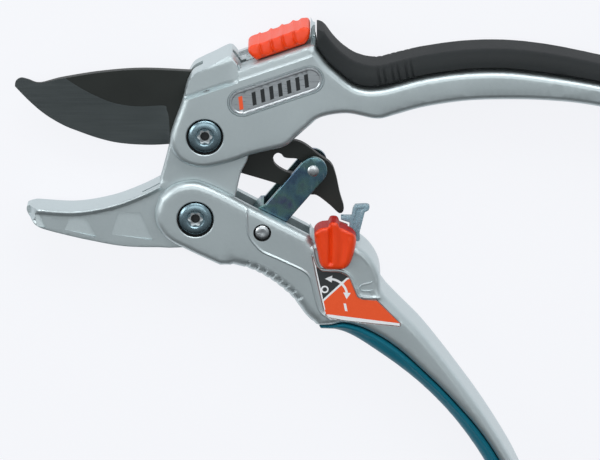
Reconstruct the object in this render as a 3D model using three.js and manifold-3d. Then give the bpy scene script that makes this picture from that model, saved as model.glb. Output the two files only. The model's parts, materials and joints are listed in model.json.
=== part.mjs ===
// Ratchet anvil pruning shears lying flat: X runs from the jaws to the handle ends,
// Y across the tool, +Z up out of the side with the screw heads. Millimetres.
// Everything is drawn about the blade pivot at (0, 0), half way through the thickness,
// and the whole group is then moved so that the origin is at the middle of its base.
import * as THREE from 'three';
import { mergeVertices } from 'three/addons/utils/BufferGeometryUtils.js';
import Module from 'manifold-3d';

const wasm = await Module();
wasm.setup();

// ---------- driving sizes ----------
const handlePivot = [-3.2, -27.2];
const linkPivot = [18.0, -31.6];
const ratchetPin = [34.2, -12.2];
const rimTop = [40.0, -34.3];
const pinSpot = [1.0, 13.6];

const jawLength = 48.3;
const upperArm = 95.8;
const lowerArm = 68.6;

const running = 0.3;
const bladeThickness = 2.5;
const washerR = 8.0;
const washerT = 0.45;
const washerPlay = 0.15;
const cheekWall = 4.0;
const handleWall = 3.2;
const gripStep = 0.3;

const screwShankR = 3.0;
const screwHeadR = 5.4;
const screwHeadT = 1.7;
const screwSunk = 0.1;
const headPlay = 0.7;
const socketR = 2.3;
const bushWall = 1.0;
const nutFlats = 9.4;
const framePinR = 1.5;

const linkHalfWidth = 4.4;
const linkPlateT = 1.5;
const linkPlay = 0.6;
const linkRivetR = 2.4;
const ratchetPinR = 1.3;
const pinHeadR = 1.8;
const springWireR = 0.5;

const lobeR = 16.0;
const saddlePlay = 0.5;
const saddleWall = 2.5;
const capReach = 5.1;
const catchT = 2.5;
const catchPlay = 0.4;

const lockSlope = 19.1;
const lockBarT = 2.4;
const sliderHalf = 7.0;
const badgeR = 4.3;
const castRound = 0.7;
const jawRound = 0.8;
const rubberRound = 0.8;
const shellRound = 0.4;

// ---------- sizes that follow ----------
const bladeHalf = bladeThickness / 2;
const slotHalf = bladeHalf + washerT + 2 * washerPlay;
const frameHalf = slotHalf + cheekWall;
const wallInner = frameHalf + running;
const handleHalf = wallInner + handleWall;
const gripHalf = handleHalf - gripStep;
const counterboreR = screwHeadR + headPlay;
const underHead = handleHalf - screwSunk - screwHeadT;
const counterboreFloor = underHead - 0.2;
const bushR = screwShankR + bushWall;
const linkOuter = wallInner - linkPlay;
const cheekInner = handleHalf + saddlePlay;
const cheekOuter = cheekInner + saddleWall;
const capBack = handleHalf - capReach;
const catchFront = wallInner - running;
const catchBack = catchFront - catchT;
const lockBarHalf = lockBarT / 2;
const springR = bushR + running + springWireR + 0.05;
const springRoomR = springR + springWireR + 0.25;
const selectorAxis = [rimTop[0], rimTop[1] - lobeR];

// The jaws reach forward from the heads at x = -12, the upper arm runs back from x = 60 and
// the lower arm down from y = -66; each is drawn at one length and reaches to its own.
const jaw = ([x, y]) => [x < -12 ? -12 + ((x + 12) * jawLength) / 48.3 : x, y];
const arm = ([x, y]) => [x > 60 ? 60 + ((x - 60) * upperArm) / 95.8 : x, y];
const leg = ([x, y]) => [x, y < -66 ? -66 + ((y + 66) * lowerArm) / 68.6 : y];
const each = (runs, move) => runs.map((run) => run.map(move));

// ---------- helpers ----------
// A manifold solid from a three.js geometry.
function solid(geometry) {
  geometry.deleteAttribute('normal');
  geometry.deleteAttribute('uv');
  const g = mergeVertices(geometry, 1e-4);
  return new wasm.Manifold(new wasm.Mesh({
    numProp: 3,
    vertProperties: new Float32Array(g.attributes.position.array),
    triVerts: new Uint32Array(g.index.array),
  }));
}

// Outline from runs of points. Each run is a smooth curve that starts where the last one
// ended; a run of one point is a straight line; the last run closes on the first point.
function outline(runs, perSpan = 2) {
  const start = runs[0][0];
  const points = [];
  let last = null;
  runs.forEach((run, i) => {
    const path = last ? [last, ...run] : [...run];
    if (i === runs.length - 1) path.push(start);
    last = path[path.length - 1];
    const vectors = path.map(([x, y]) => new THREE.Vector2(x, y));
    const curve = new THREE.SplineCurve(vectors);
    const fine = path.length > 2 ? curve.getPoints((path.length - 1) * perSpan) : vectors;
    points.push(...fine.slice(0, -1));
  });
  return points;
}

// Plate between two heights with its outer edges rounded by `round` and drawn in by `inset`.
function plate(points, z0, z1, round = 0, steps = 2, inset = 0) {
  const geometry = new THREE.ExtrudeGeometry(new THREE.Shape(points), {
    depth: z1 - z0 - 2 * round,
    bevelEnabled: round > 0,
    bevelThickness: round,
    bevelSize: round,
    bevelOffset: -round - inset,
    bevelSegments: steps,
    steps: 1,
  });
  geometry.translate(0, 0, z0 + round);
  return solid(geometry);
}

function poly(points, z0, z1) {
  return plate(points.map(([x, y]) => new THREE.Vector2(x, y)), z0, z1);
}

function disc([x, y], r, z0, z1, sides = 32) {
  const geometry = new THREE.CylinderGeometry(r, r, z1 - z0, sides);
  geometry.rotateX(Math.PI / 2);
  geometry.translate(x, y, (z0 + z1) / 2);
  return solid(geometry);
}

// Turned piece: profile of [radius, z] pairs spun about the Z axis through a point.
function turned([x, y], profile, sides = 32) {
  const points = profile.map(([r, z]) => new THREE.Vector2(r, z));
  const geometry = new THREE.LatheGeometry([...points, points[0]], sides);
  geometry.rotateX(Math.PI / 2);
  geometry.translate(x, y, 0);
  return solid(geometry);
}

// Prism with its section in (v, z) run along a sloping line that starts at [x, y].
// v points across the line to its left.
function prism([x, y], degrees, length, section) {
  const shape = new THREE.Shape(section.map(([v, z]) => new THREE.Vector2(v, z)));
  const geometry = new THREE.ExtrudeGeometry(shape, { depth: length, bevelEnabled: false });
  const a = THREE.MathUtils.degToRad(degrees);
  const along = new THREE.Vector3(Math.cos(a), Math.sin(a), 0);
  const across = new THREE.Vector3(-Math.sin(a), Math.cos(a), 0);
  const up = new THREE.Vector3(0, 0, 1);
  geometry.applyMatrix4(new THREE.Matrix4().makeBasis(across, up, along));
  geometry.translate(x, y, 0);
  return solid(geometry);
}

function wire(points, radius, steps, sides = 8) {
  const section = [];
  for (let i = 0; i < sides; i += 1) {
    const a = (2 * Math.PI * i) / sides;
    section.push(new THREE.Vector2(radius * Math.cos(a), radius * Math.sin(a)));
  }
  const path = new THREE.CatmullRomCurve3(points.map((p) => new THREE.Vector3(...p)));
  return solid(new THREE.ExtrudeGeometry(new THREE.Shape(section), { steps, extrudePath: path }));
}

// Coil about a vertical axis with a straight leg at each end, as a list of points.
function coil([x, y], r, z0, z1, turns, startDeg, legOut, legIn) {
  const points = [];
  const n = Math.round(turns * 12);
  const a0 = THREE.MathUtils.degToRad(startDeg);
  const a1 = a0 + turns * 2 * Math.PI;
  const at = (a, out, z) => [
    x + r * Math.cos(a) + out * Math.sin(a), y + r * Math.sin(a) - out * Math.cos(a), z];
  points.push(at(a0, legOut, z0));
  for (let i = 0; i <= n; i += 1) {
    const t = i / n;
    points.push(at(a0 + t * turns * 2 * Math.PI, 0, z0 + (z1 - z0) * t));
  }
  points.push(at(a1, -legIn, z1));
  return points;
}

const group = new THREE.Group();

function add(name, manifold, color, roughness, metalness) {
  const m = manifold.getMesh();
  const g = new THREE.BufferGeometry();
  g.setAttribute('position', new THREE.BufferAttribute(new Float32Array(m.vertProperties), 3));
  g.setIndex(new THREE.BufferAttribute(new Uint32Array(m.triVerts), 1));
  g.computeVertexNormals();
  const mesh = new THREE.Mesh(g, new THREE.MeshStandardMaterial({ color, roughness, metalness }));
  mesh.name = name;
  group.add(mesh);
}

const castGrey = '#979fa3';
const screwSteel = '#7f9aa3';
const darkSteel = '#2c3032';
const zincBlue = '#3d565b';

// ---------- the two pivot bolts: screw, nut and bush, and the holes for them ----------
function boltHoles(body, centre) {
  return body
    .subtract(disc(centre, screwShankR + running, -20, 20))
    .subtract(disc(centre, counterboreR, counterboreFloor, 20))
    .subtract(disc(centre, counterboreR, -20, -counterboreFloor));
}

function bolt(prefix, centre) {
  const top = underHead + screwHeadT;
  const screw = turned(centre, [
    [0, gripStep + 0.2 - handleHalf], [screwShankR, gripStep + 0.2 - handleHalf], [screwShankR, underHead], [screwHeadR, underHead],
    [screwHeadR, top - 0.4], [screwHeadR - 0.5, top], [0, top]]);
  const socket = [];
  for (let i = 0; i < 12; i += 1) {
    const a = (Math.PI * i) / 6;
    const r = i % 2 ? socketR * 0.74 : socketR;
    socket.push([centre[0] + r * Math.cos(a), centre[1] + r * Math.sin(a)]);
  }
  add(`${prefix}_screw`, screw.subtract(poly(socket, top - 1.3, 20)), screwSteel, 0.3, 1.0);
  const nut = disc(centre, nutFlats / Math.sqrt(3), gripStep - handleHalf, -underHead, 6);
  add(`${prefix}_nut`, nut.subtract(disc(centre, screwShankR + running, -20, 0)),
    screwSteel, 0.35, 1.0);
  const bush = disc(centre, bushR, -frameHalf, frameHalf);
  add(`${prefix}_bush`, bush.subtract(disc(centre, screwShankR + running, -20, 20)),
    '#a08a55', 0.4, 1.0);
}

bolt('blade_pivot', [0, 0]);
bolt('handle_pivot', handlePivot);

// ---------- anvil frame: jaw with its flat anvil, and two cheeks up to the blade pivot ----------
const anvilTop = [
  [-14.6, -17.0], [-20.7, -20.0], [-29.8, -23.5], [-41.1, -25.5], [-52.2, -25.0], [-57.2, -24.3]];
const anvilUnder = [
  [-56.2, -27.2], [-53.8, -30.7], [-47.7, -33.0], [-37.0, -35.6], [-24.8, -37.7], [-9.3, -37.8]];
const cheek = plate(outline(each([
  anvilTop,
  [...anvilUnder, [-2.4, -36.9], [3.6, -33.6], [7.6, -27.6], [9.3, -21.5]],
  [[10.2, -17.5], [11.4, -12.6], [13.6, -7.6], [13.4, -1.0], [10.8, 8.0], [5.4, 16.6]],
  [[0.0, 15.9], [-5.2, 12.0]],
  [[-9.4, 4.0], [-10.9, -2.3], [-12.4, -9.0]],
], jaw)), -frameHalf, frameHalf, jawRound);
const bladeSlot = plate(outline([
  [[-12.6, -16.9], [-6.0, -15.4], [0.0, -15.4], [9.0, -18.4]],
  [[30, -18.4]], [[30, 30]], [[-30, 30]], [[-30, -12]],
  [[-14.6, -16.9]],
]), -slotHalf, slotHalf);
const tipBack = jaw([-54.6, 0])[0];
const tipSides = [1, -1].map((side) => poly(
  [[tipBack - 30, -50], [tipBack, -50], [tipBack, 0], [tipBack - 30, 0]],
  ...(side > 0 ? [frameHalf - 1.6, 20] : [-20, 1.6 - frameHalf])));
const legRoom = handlePivot[1] - springRoomR - 0.2;
const springPocket = disc(handlePivot, springRoomR, -slotHalf, slotHalf)
  .add(poly([[-3.2, legRoom], [20, legRoom], [20, -21.0], [-3.2, -22.0]], -slotHalf, slotHalf));
let frame = cheek
  .subtract(tipSides[0])
  .subtract(tipSides[1])
  .subtract(bladeSlot)
  .subtract(springPocket)
  .subtract(disc([0, 0], bushR + running, -20, 20))
  .subtract(disc(handlePivot, bushR + running, -20, 20))
  .subtract(disc(pinSpot, framePinR + running, -20, 20));
const pockets = [
  [[-43.6, -28.2], [-37.9, -28.2], [-35.4, -34.4], [-44.7, -31.8]],
  [[-28.0, -26.4], [-20.8, -26.0], [-17.6, -35.4], [-29.8, -33.4]]];
pockets.map((pocket) => pocket.map(jaw)).forEach((pocket) => {
  frame = frame
    .subtract(poly(pocket, frameHalf - 0.8, 20))
    .subtract(poly(pocket, -20, 0.8 - frameHalf));
});
add('anvil_frame', frame, castGrey, 0.45, 0.9);

const framePinTop = handleHalf - 1.5;
add('frame_pin', disc(pinSpot, framePinR, gripStep - handleHalf, framePinTop, 20), darkSteel, 0.4, 1.0);

// ---------- blade: ground steel plate with its tail and the notched ratchet window ----------
const ratchetWindow = outline([
  [[21.4, -9.4], [21.9, -8.2], [23.0, -7.6], [24.1, -8.0], [24.8, -8.9], [26.0, -9.3],
    [28.9, -9.5], [30.4, -10.3], [32.6, -10.3], [34.4, -10.4], [35.7, -11.2], [35.9, -12.6],
    [35.0, -13.8], [33.0, -14.4], [26.9, -14.2], [24.0, -13.0], [22.0, -11.3]],
]);
const edgeLine = [
  [-11.3, -4.9], [-16.6, -5.2], [-23.1, -5.0], [-28.9, -4.3], [-34.6, -2.8], [-40.3, -0.7],
  [-45.2, 1.4], [-50.9, 5.0], [-55.8, 9.4], [-60.1, 14.1]].map(jaw);
let blade = plate(outline(each([
  [[-60.1, 14.1], [-59.8, 15.8], [-58.2, 16.9], [-55.8, 16.4], [-52.2, 15.3], [-45.2, 16.9],
    [-33.0, 18.9], [-19.5, 19.9], [-2.6, 19.2]],
  [[-1.8, 15.0], [1.0, 11.3], [6.0, 9.6], [9.8, 5.6]],
  [[13.4, 7.4]], [[14.55, 4.73]], [[11.41, 0.33]],
  [[11.6, -2.2], [13.4, -3.7], [20.0, -3.9], [29.4, -3.6], [36.8, -8.0], [41.0, -13.0],
    [42.6, -21.1], [44.0, -26.1], [42.6, -27.7], [39.4, -24.8], [35.4, -21.7], [32.4, -21.2],
    [22.4, -17.7], [11.8, -14.4], [2.0, -11.4], [-4.5, -10.3], [-9.0, -7.4], [-11.3, -4.9]],
], jaw).concat([edgeLine.slice(1, -1)])), -bladeHalf, bladeHalf)
  .subtract(plate(ratchetWindow, -8, 8))
  .subtract(disc([0, 0], bushR + running, -20, 20));
[[0, 3], [3, 5], [5, 7], [7, 9]].forEach(([i, j]) => {
  const [p, q] = [edgeLine[j], edgeLine[i]];
  const degrees = THREE.MathUtils.radToDeg(Math.atan2(q[1] - p[1], q[0] - p[0]));
  const length = Math.hypot(q[0] - p[0], q[1] - p[1]);
  [1, -1].forEach((side) => {
    const section = [[-3, 0.25 * side], [0, 0.25 * side], [9, bladeHalf * side],
      [9, slotHalf * side], [-3, slotHalf * side]];
    blade = blade.subtract(prism(p, degrees, length, section));
  });
});
add('blade', blade, '#2a2e30', 0.4, 0.6);

[1, -1].forEach((side) => {
  const inner = bladeHalf + washerPlay;
  const [z0, z1] = side > 0 ? [inner, inner + washerT] : [-inner - washerT, -inner];
  const washer = disc([0, 0], washerR, z0, z1).subtract(disc([0, 0], bushR + running, -20, 20));
  add(side > 0 ? 'blade_washer_front' : 'blade_washer_back', washer, '#b7b9b6', 0.35, 1.0);
});

// ---------- upper handle: cast head with a roof over the blade tail, and the long arm ----------
const gripLine = [
  [35.3, 28.6], [38.4, 24.3], [41.6, 21.3], [46.0, 17.7], [50.2, 16.1], [56.6, 16.4],
  [68.8, 19.6], [81.6, 21.5], [94.4, 21.8], [107.2, 20.4], [120.0, 18.3], [134.0, 15.3],
  [146.0, 11.6], [152.6, 8.4]].map(arm);
const dropBy = (points, d) => points.map(([x, y]) => [x, y - d]);
const upperBody = plate(outline(each([
  [[-5.4, 17.0], [-7.4, 10.4], [-9.6, 4.4], [-11.0, -1.0], [-10.0, -5.4], [-6.8, -8.8],
    [-0.6, -10.4], [8.0, -8.6], [14.4, -6.2], [20.8, -4.6], [25.6, -3.2], [28.6, -0.6],
    [33.0, 3.4], [36.8, 6.2], [44.8, 7.4], [53.8, 5.7], [59.2, 6.7], [68.8, 9.4],
    [81.6, 11.4], [94.4, 11.9], [107.2, 11.6], [120.0, 10.3], [134.0, 7.2], [149.0, 1.6]],
  [[153.4, 1.2], [155.2, 4.0], [153.0, 7.4]],
], arm).concat([
  dropBy([...gripLine].reverse().slice(1), 2 * running),
  [[34.8, 30.6]], [[34.8, 34.6]], [[33.4, 34.8]], [[33.4, 29.8]], [[11.5, 22.2]],
  [[9.6, 25.0], [7.7, 26.0], [3.2, 23.8], [-0.6, 22.0], [-3.6, 20.2]],
])), -handleHalf, handleHalf, castRound, 1);
const creaseStart = [-18, 8.3];
const dome = [[0, 0], [4.0, -0.9], [7.0, -3.1], [8.6, -6.1], [16, -6.1], [16, 2.5], [0, 2.5]];
const shoulder = [[0, 0], [3.2, -3.0], [5.0, -3.0], [5.0, 2.5], [0, 2.5]];
const finHalf = 1.6;
const fin = [
  [3.2, finHalf - handleHalf], [16, finHalf - handleHalf], [16, 2.5], [3.2, 2.5]];
const fromFace = (section) => section.map(([v, z]) => [v, z + handleHalf]);
const flipped = (section) => section.map(([v, z]) => [v, -z]);
const lockTilt = THREE.MathUtils.degToRad(lockSlope);
const along = (d) => [creaseStart[0] + d * Math.cos(lockTilt), creaseStart[1] + d * Math.sin(lockTilt)];
let upper = upperBody;
[fromFace, (section) => flipped(fromFace(section))].forEach((side) => {
  upper = upper
    .subtract(prism(along(0), lockSlope, 31.5, side(dome)))
    .subtract(prism(along(31.5), lockSlope, 24.5, side(shoulder)))
    .subtract(prism(along(52.5), lockSlope, 8, side(fin)));
});
const lockSlotHalf = lockBarHalf + 0.5;
const headHollow = plate(outline([
  [[-20, 14.0]], [[-6.0, 14.0]], [[0.0, 17.6]], [[6.0, 21.0]], [[9.0, 20.6]], [[12.5, 18.6]],
  [[29.0, 24.4]],
  [[33.0, 21.0], [36.0, 16.0], [41.0, 12.4]],
  [[47.4, 11.0]], [[47.4, -20]], [[-20, -20]],
]), -wallInner, wallInner);
upper = upper
  .subtract(headHollow)
  .subtract(poly([[47, -5], [55.5, -5], [54, 9.5], [50, 13.6], [40, 15.2], [36, 15.2], [36, -5]],
    -slotHalf, slotHalf))
  .subtract(poly([[-20, 30], [-20, 12], [-0.6, 12], [-0.6, 30]], -slotHalf, slotHalf))
  .subtract(poly([[5.4, 24.9], [5.4, 16], [17.6, 16], [17.6, 30], [8.8, 30], [8.8, 25.4]],
    -lockSlotHalf, lockSlotHalf))
  .subtract(disc(pinSpot, framePinR + 0.1, -20, framePinTop + running, 20));
const badgeEnds = [[11.8, 11.4], [33.0, 18.8]];
const lozenge = (r) => {
  const [a, b] = badgeEnds;
  const turn = Math.atan2(b[1] - a[1], b[0] - a[0]);
  const points = [];
  [[b, -Math.PI / 2], [a, Math.PI / 2]].forEach(([c, from]) => {
    for (let i = 0; i <= 10; i += 1) {
      const t = turn + from + (Math.PI * i) / 10;
      points.push(new THREE.Vector2(c[0] + r * Math.cos(t), c[1] + r * Math.sin(t)));
    }
  });
  return points;
};
upper = boltHoles(upper, [0, 0]).subtract(plate(lozenge(badgeR + 0.2), handleHalf - 0.5, 20));
add('upper_handle', upper, castGrey, 0.42, 0.9);
add('badge_plate', plate(lozenge(badgeR), handleHalf - 0.2, handleHalf + 0.6, 0.25, 1),
  '#b9c2c6', 0.3, 0.9);

const upperGrip = plate(outline([
  gripLine,
  [[155.8, 11.4], [154.4, 15.2], [147.0, 17.6], [134.0, 20.8], [120.0, 24.1], [107.2, 26.6],
    [94.4, 27.9], [81.6, 27.6], [68.8, 25.8], [60.2, 23.8], [54.4, 22.4], [49.0, 23.2],
    [44.6, 25.6], [40.6, 29.4], [37.6, 33.4]].map(arm),
  [[35.3, 34.4]],
  [],
]), -gripHalf, gripHalf, rubberRound, 1);
add('upper_grip', upperGrip, '#34393a', 0.75, 0.0);

// ---------- lock: ribbed thumb slider and the steel bar it carries ----------
const ledge = (x, up) => 22.2 + (x - 11.5) * Math.tan(lockTilt) + up;
const sliderOutline = outline([
  [[16.4, ledge(16.4, 0.45)]], [[32.6, ledge(32.6, 0.45)]],
  [[33.0, 33.6], [31.4, 35.0]],
  [[27.5, 34.0], [20.8, 31.5], [16.6, 29.8], [14.0, 28.4], [13.7, 27.2], [14.6, 25.8]],
]);
const slider = plate(sliderOutline, -sliderHalf, sliderHalf, 1.0, 2)
  .subtract(poly([[10, 20], [30.6, 27.2], [30.6, ledge(30.6, 2.4)], [16.9, ledge(16.9, 2.4)],
    [16.9, ledge(16.9, 4.2)], [10, ledge(10, 4.2)]], -lockBarHalf - running, lockBarHalf + running));
add('lock_slider', slider, '#ee5828', 0.5, 0.0);
const barOutline = [
  [13.1, 9.8], [16.1, 9.8], [16.1, ledge(16.1, 0.6)], [30.2, ledge(30.2, 0.6)],
  [30.2, ledge(30.2, 2.1)], [16.5, ledge(16.5, 2.1)], [16.5, ledge(16.5, 3.8)],
  [10.5, ledge(10.5, 3.7)], [10.5, ledge(10.5, 2.3)], [13.1, ledge(13.1, 2.1)]];
add('lock_bar', poly(barOutline, -lockBarHalf, lockBarHalf), '#8f9698', 0.35, 1.0);

// ---------- lower handle: two walls round the frame, link channel, lobe and the long arm ----------
const lobeAt = (deg) => {
  const a = THREE.MathUtils.degToRad(deg);
  return [selectorAxis[0] + lobeR * Math.cos(a), selectorAxis[1] + lobeR * Math.sin(a)];
};
const gripSeam = [
  [36.2, -63.2], [40.0, -63.1], [44.0, -62.4], [49.6, -63.8], [56.0, -67.1], [62.4, -71.8],
  [68.8, -77.9], [75.2, -84.3], [81.6, -91.4], [88.0, -99.3], [94.0, -108.6], [98.6, -118.0],
  [100.8, -126.4], [101.2, -131.0]].map(leg);
const lowerOutline = outline(each([
  [[-14.4, -20.0], [-11.2, -17.0], [-8.0, -15.5], [-4.8, -15.0], [-1.6, -15.3], [4.8, -18.0],
    [14.4, -23.3], [25.0, -28.8], [32.9, -33.0]],
  [lobeAt(111)],
  [lobeAt(97), lobeAt(83), lobeAt(69), lobeAt(55), lobeAt(41), lobeAt(27), lobeAt(13), lobeAt(-3)],
  [[selectorAxis[0] + lobeR + 1.8, selectorAxis[1] - 3.5]],
  [[62.4, -58.7], [68.8, -65.4], [75.2, -73.5], [81.6, -82.2], [88.0, -91.3], [94.4, -101.4],
    [100.2, -111.8], [104.2, -121.6], [105.4, -129.0]],
  [[104.6, -131.6], [103.0, -132.2]],
], leg).concat([
  [gripSeam[gripSeam.length - 1]],
  [...gripSeam].reverse().slice(1),
  [[34.4, -62.4], [31.7, -59.9], [27.2, -53.8], [20.8, -48.3], [14.4, -44.7], [8.6, -43.0],
    [4.5, -42.9]],
  [[-1.6, -40.0], [-7.7, -36.9], [-12.2, -34.2], [-15.4, -29.8], [-16.0, -25.0]],
]));
const channel = plate(outline([
  [[-30, -50]], [[-7.0, -50]], [[-1.6, -40.4]],
  [[3.2, -38.2], [8.2, -37.4]],
  [[15.0, -39.0]], [[27.0, -40.6]], [[33.0, -40.0]], [[33.2, -20]], [[20, 0]], [[-30, 0]],
]), -wallInner, wallInner);
const backTrim = poly([[-20, -10], [-8, -17.0], [-1.6, -16.9], [4.8, -19.6], [14.4, -24.9],
  [25.0, -30.4], [33.2, -34.8], [34, -25], [34, -8], [-20, -8]], -20, -slotHalf);
const labelOutline = outline([
  [[33.6, -38.6]], [[34.4, -39.8]],
  [[35.4, -42.6], [37.2, -44.3]],
  [[42.6, -44.6]],
  [[45.6, -46.4], [47.4, -50.4], [48.4, -53.0]],
  [[50.0, -53.9]], [[54.6, -54.2]], [[62.2, -62.0]], [[62.0, -63.2]],
  [[43.6, -61.2]], [[40.0, -60.4]], [[37.6, -57.6]],
]);
let lower = plate(lowerOutline, -handleHalf, handleHalf, castRound, 1)
  .subtract(channel)
  .subtract(backTrim)
  .subtract(disc(linkPivot, linkRivetR + 0.45, -20, 20))
  .subtract(plate(labelOutline, handleHalf - 0.7, 20));
lower = boltHoles(lower, handlePivot);
add('lower_handle', lower, castGrey, 0.42, 0.9);

add('label_plate', plate(labelOutline, handleHalf - 0.5, handleHalf - 0.1, 0.1, 1, 0.25),
  '#eb5519', 0.45, 0.0);

const lowerGrip = plate(outline([
  dropBy(gripSeam, 0.35),
  [[101.0, -134.4], [99.2, -134.6], [97.4, -129.6], [95.0, -121.6], [91.0, -112.6],
    [85.4, -103.4], [78.4, -94.0], [70.4, -85.4], [62.4, -78.4], [52.8, -71.3], [46.4, -67.2],
    [41.6, -65.4], [37.2, -65.0]].map(leg),
  [],
]), -gripHalf, gripHalf, shellRound, 1);
add('lower_grip', lowerGrip, '#04627a', 0.55, 0.0);

// ---------- ratchet link: folded zinc-plated strap, its rivet and its pin ----------
const linkTurn = Math.atan2(ratchetPin[1] - linkPivot[1], ratchetPin[0] - linkPivot[0]);
const linkLength = Math.hypot(ratchetPin[0] - linkPivot[0], ratchetPin[1] - linkPivot[1]);
const onLink = ([a, p]) => [
  linkPivot[0] + a * Math.cos(linkTurn) - p * Math.sin(linkTurn),
  linkPivot[1] + a * Math.sin(linkTurn) + p * Math.cos(linkTurn)];
const strap = [];
[[linkLength, -90], [0, 90]].forEach(([centre, from]) => {
  for (let i = 0; i <= 10; i += 1) {
    const t = THREE.MathUtils.degToRad(from + 18 * i);
    strap.push(onLink([centre + linkHalfWidth * Math.cos(t), linkHalfWidth * Math.sin(t)]));
  }
});
const link = poly(strap, -linkOuter, linkOuter)
  .subtract(poly(strap.map(([x, y]) => {
    const [cx, cy] = onLink([linkLength / 2, 0]);
    return [cx + (x - cx) * 1.4, cy + (y - cy) * 1.4];
  }), linkPlateT - linkOuter, linkOuter - linkPlateT))
  .add(poly([[0.6, 4.1], [6.2, 4.1], [6.2, 4.8], [5.6, 5.4], [1.2, 5.4], [0.6, 4.8]].map(onLink),
    -linkOuter, linkOuter))
  .subtract(disc(linkPivot, linkRivetR + running, -20, 20))
  .subtract(disc(ratchetPin, ratchetPinR + running, -20, 20, 20));
add('ratchet_link', link, zincBlue, 0.35, 0.9);

const rivetTop = handleHalf - 0.1;
add('link_pivot_rivet', turned(linkPivot, [
  [0, -rivetTop], [linkRivetR - 0.5, -rivetTop], [linkRivetR, 0.4 - rivetTop],
  [linkRivetR, rivetTop - 0.4], [linkRivetR - 0.5, rivetTop], [0, rivetTop]], 24), '#b4bfc1', 0.3, 1.0);
const pinTop = linkOuter + 0.12;
add('ratchet_pin', turned(ratchetPin, [
  [0, -pinTop - 0.3], [pinHeadR, -pinTop - 0.3], [pinHeadR, -pinTop], [ratchetPinR, -pinTop],
  [ratchetPinR, pinTop], [pinHeadR, pinTop], [pinHeadR, pinTop + 0.3], [0, pinTop + 0.3]], 20),
  '#c3cbcc', 0.3, 1.0);

add('link_spring', wire(coil(linkPivot, 3.4, -1.5, 1.5, 2.5, 230, 3.0, 3.0), 0.4, 90, 6),
  '#9aa0a2', 0.3, 1.0);
const springHalf = slotHalf - springWireR - 0.4;
add('handle_spring', wire(
  coil(handlePivot, springR, -springHalf, springHalf, 2.0, 270, 0.4, 9.0),
  springWireR, 90, 6),
  '#9aa0a2', 0.3, 1.0);

// ---------- ratchet selector: thumb piece hooked over the lobe, and the catch post it carries ----------
const onRim = ([x, y]) => [rimTop[0] + x, rimTop[1] + y];
const saddleOutline = outline(each([
  [[-5.4, 0.9], [-5.3, 3.9], [-3.0, 5.7]],
  [[-1.2, 5.4]], [[-0.6, 6.7]], [[2.0, 6.7]], [[2.6, 5.3]],
  [[6.4, 3.5], [7.8, 1.1], [7.2, -3.3], [5.6, -7.5], [3.6, -9.0]],
  [[0.6, -9.2]],
  [[-2.4, -8.7], [-3.8, -6.7]],
], onRim));
const catchLeft = 5.6;
const catchNotch = [
  [catchLeft - catchPlay, -11], [20, -11], [20, 14], [catchLeft - catchPlay, 14]].map(onRim);
const saddle = plate(saddleOutline, capBack, cheekOuter, 0.8, 1)
  .subtract(disc(selectorAxis, lobeR + saddlePlay, 0, cheekInner, 72))
  .subtract(poly(catchNotch, 0, catchFront + catchPlay));
add('selector_lever', saddle, '#f04b14', 0.45, 0.0);
const catchBody = poly([
  [catchLeft, -0.3], [5.75, 4.9], [3.0, 5.9], [3.0, 7.1], [6.4, 7.1], [6.9, 9.8], [7.3, 10.9],
  [11.3, 10.8], [12.2, 10.2], [11.8, 8.9], [10.6, 8.3], [9.0, 1.7], [8.8, -1.3]].map(onRim),
catchBack, catchFront)
  .subtract(disc(selectorAxis, lobeR + saddlePlay, -20, 20, 72));
add('selector_catch', catchBody, '#a5bec8', 0.3, 0.0);

// Origin at the middle of the base of the whole tool.
const box = new THREE.Box3().setFromObject(group);
const middle = box.getCenter(new THREE.Vector3());
group.position.set(-middle.x, -middle.y, -box.min.z);
group.updateMatrixWorld(true);

export default group;
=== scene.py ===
import json
import math
import bmesh
import bpy
import numpy as np
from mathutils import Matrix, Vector
from mathutils.geometry import delaunay_2d_cdt
from mathutils.kdtree import KDTree


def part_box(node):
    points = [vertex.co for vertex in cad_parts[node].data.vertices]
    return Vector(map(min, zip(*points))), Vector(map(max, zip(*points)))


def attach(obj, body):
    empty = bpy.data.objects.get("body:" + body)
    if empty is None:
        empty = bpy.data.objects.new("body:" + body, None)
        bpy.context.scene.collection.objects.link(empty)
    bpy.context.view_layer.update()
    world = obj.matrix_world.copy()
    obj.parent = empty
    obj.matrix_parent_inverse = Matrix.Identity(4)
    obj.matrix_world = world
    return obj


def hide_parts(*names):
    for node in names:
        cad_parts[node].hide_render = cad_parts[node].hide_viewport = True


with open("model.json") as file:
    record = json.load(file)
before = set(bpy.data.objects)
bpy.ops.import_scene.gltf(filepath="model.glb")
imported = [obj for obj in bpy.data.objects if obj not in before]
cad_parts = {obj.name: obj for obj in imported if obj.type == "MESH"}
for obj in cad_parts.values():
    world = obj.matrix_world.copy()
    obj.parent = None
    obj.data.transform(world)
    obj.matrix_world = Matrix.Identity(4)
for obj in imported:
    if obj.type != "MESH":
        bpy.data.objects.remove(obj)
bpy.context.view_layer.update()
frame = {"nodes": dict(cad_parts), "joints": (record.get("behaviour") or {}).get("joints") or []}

scene = bpy.context.scene
pivot = {joint["name"]: Vector(joint["pos_m"]) for joint in frame["joints"] if "pos_m" in joint}
zero = pivot["blade_pivot"]
zero = Vector((zero.x, zero.y, sum(corner.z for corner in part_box("blade")) / 2))

# ---- Studio ----
# The shears lie flat on a pale sweep under soft boxes, seen through a long lens from
# above and a little behind the cutting edge.
tilt = math.radians(18)
aim = zero + Vector((0.0300, -0.0337, 0.0))
camera = bpy.data.objects.new("camera", bpy.data.cameras.new("camera"))
camera.data.lens = 225
camera.data.sensor_width = 36
camera.data.clip_end = 20
camera.location = aim + Vector((0, math.sin(tilt), math.cos(tilt))) * 1.2
camera.rotation_euler = (-tilt, 0, 0)
scene.collection.objects.link(camera)
scene.camera = camera
scene.view_settings.view_transform = "Standard"

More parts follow.
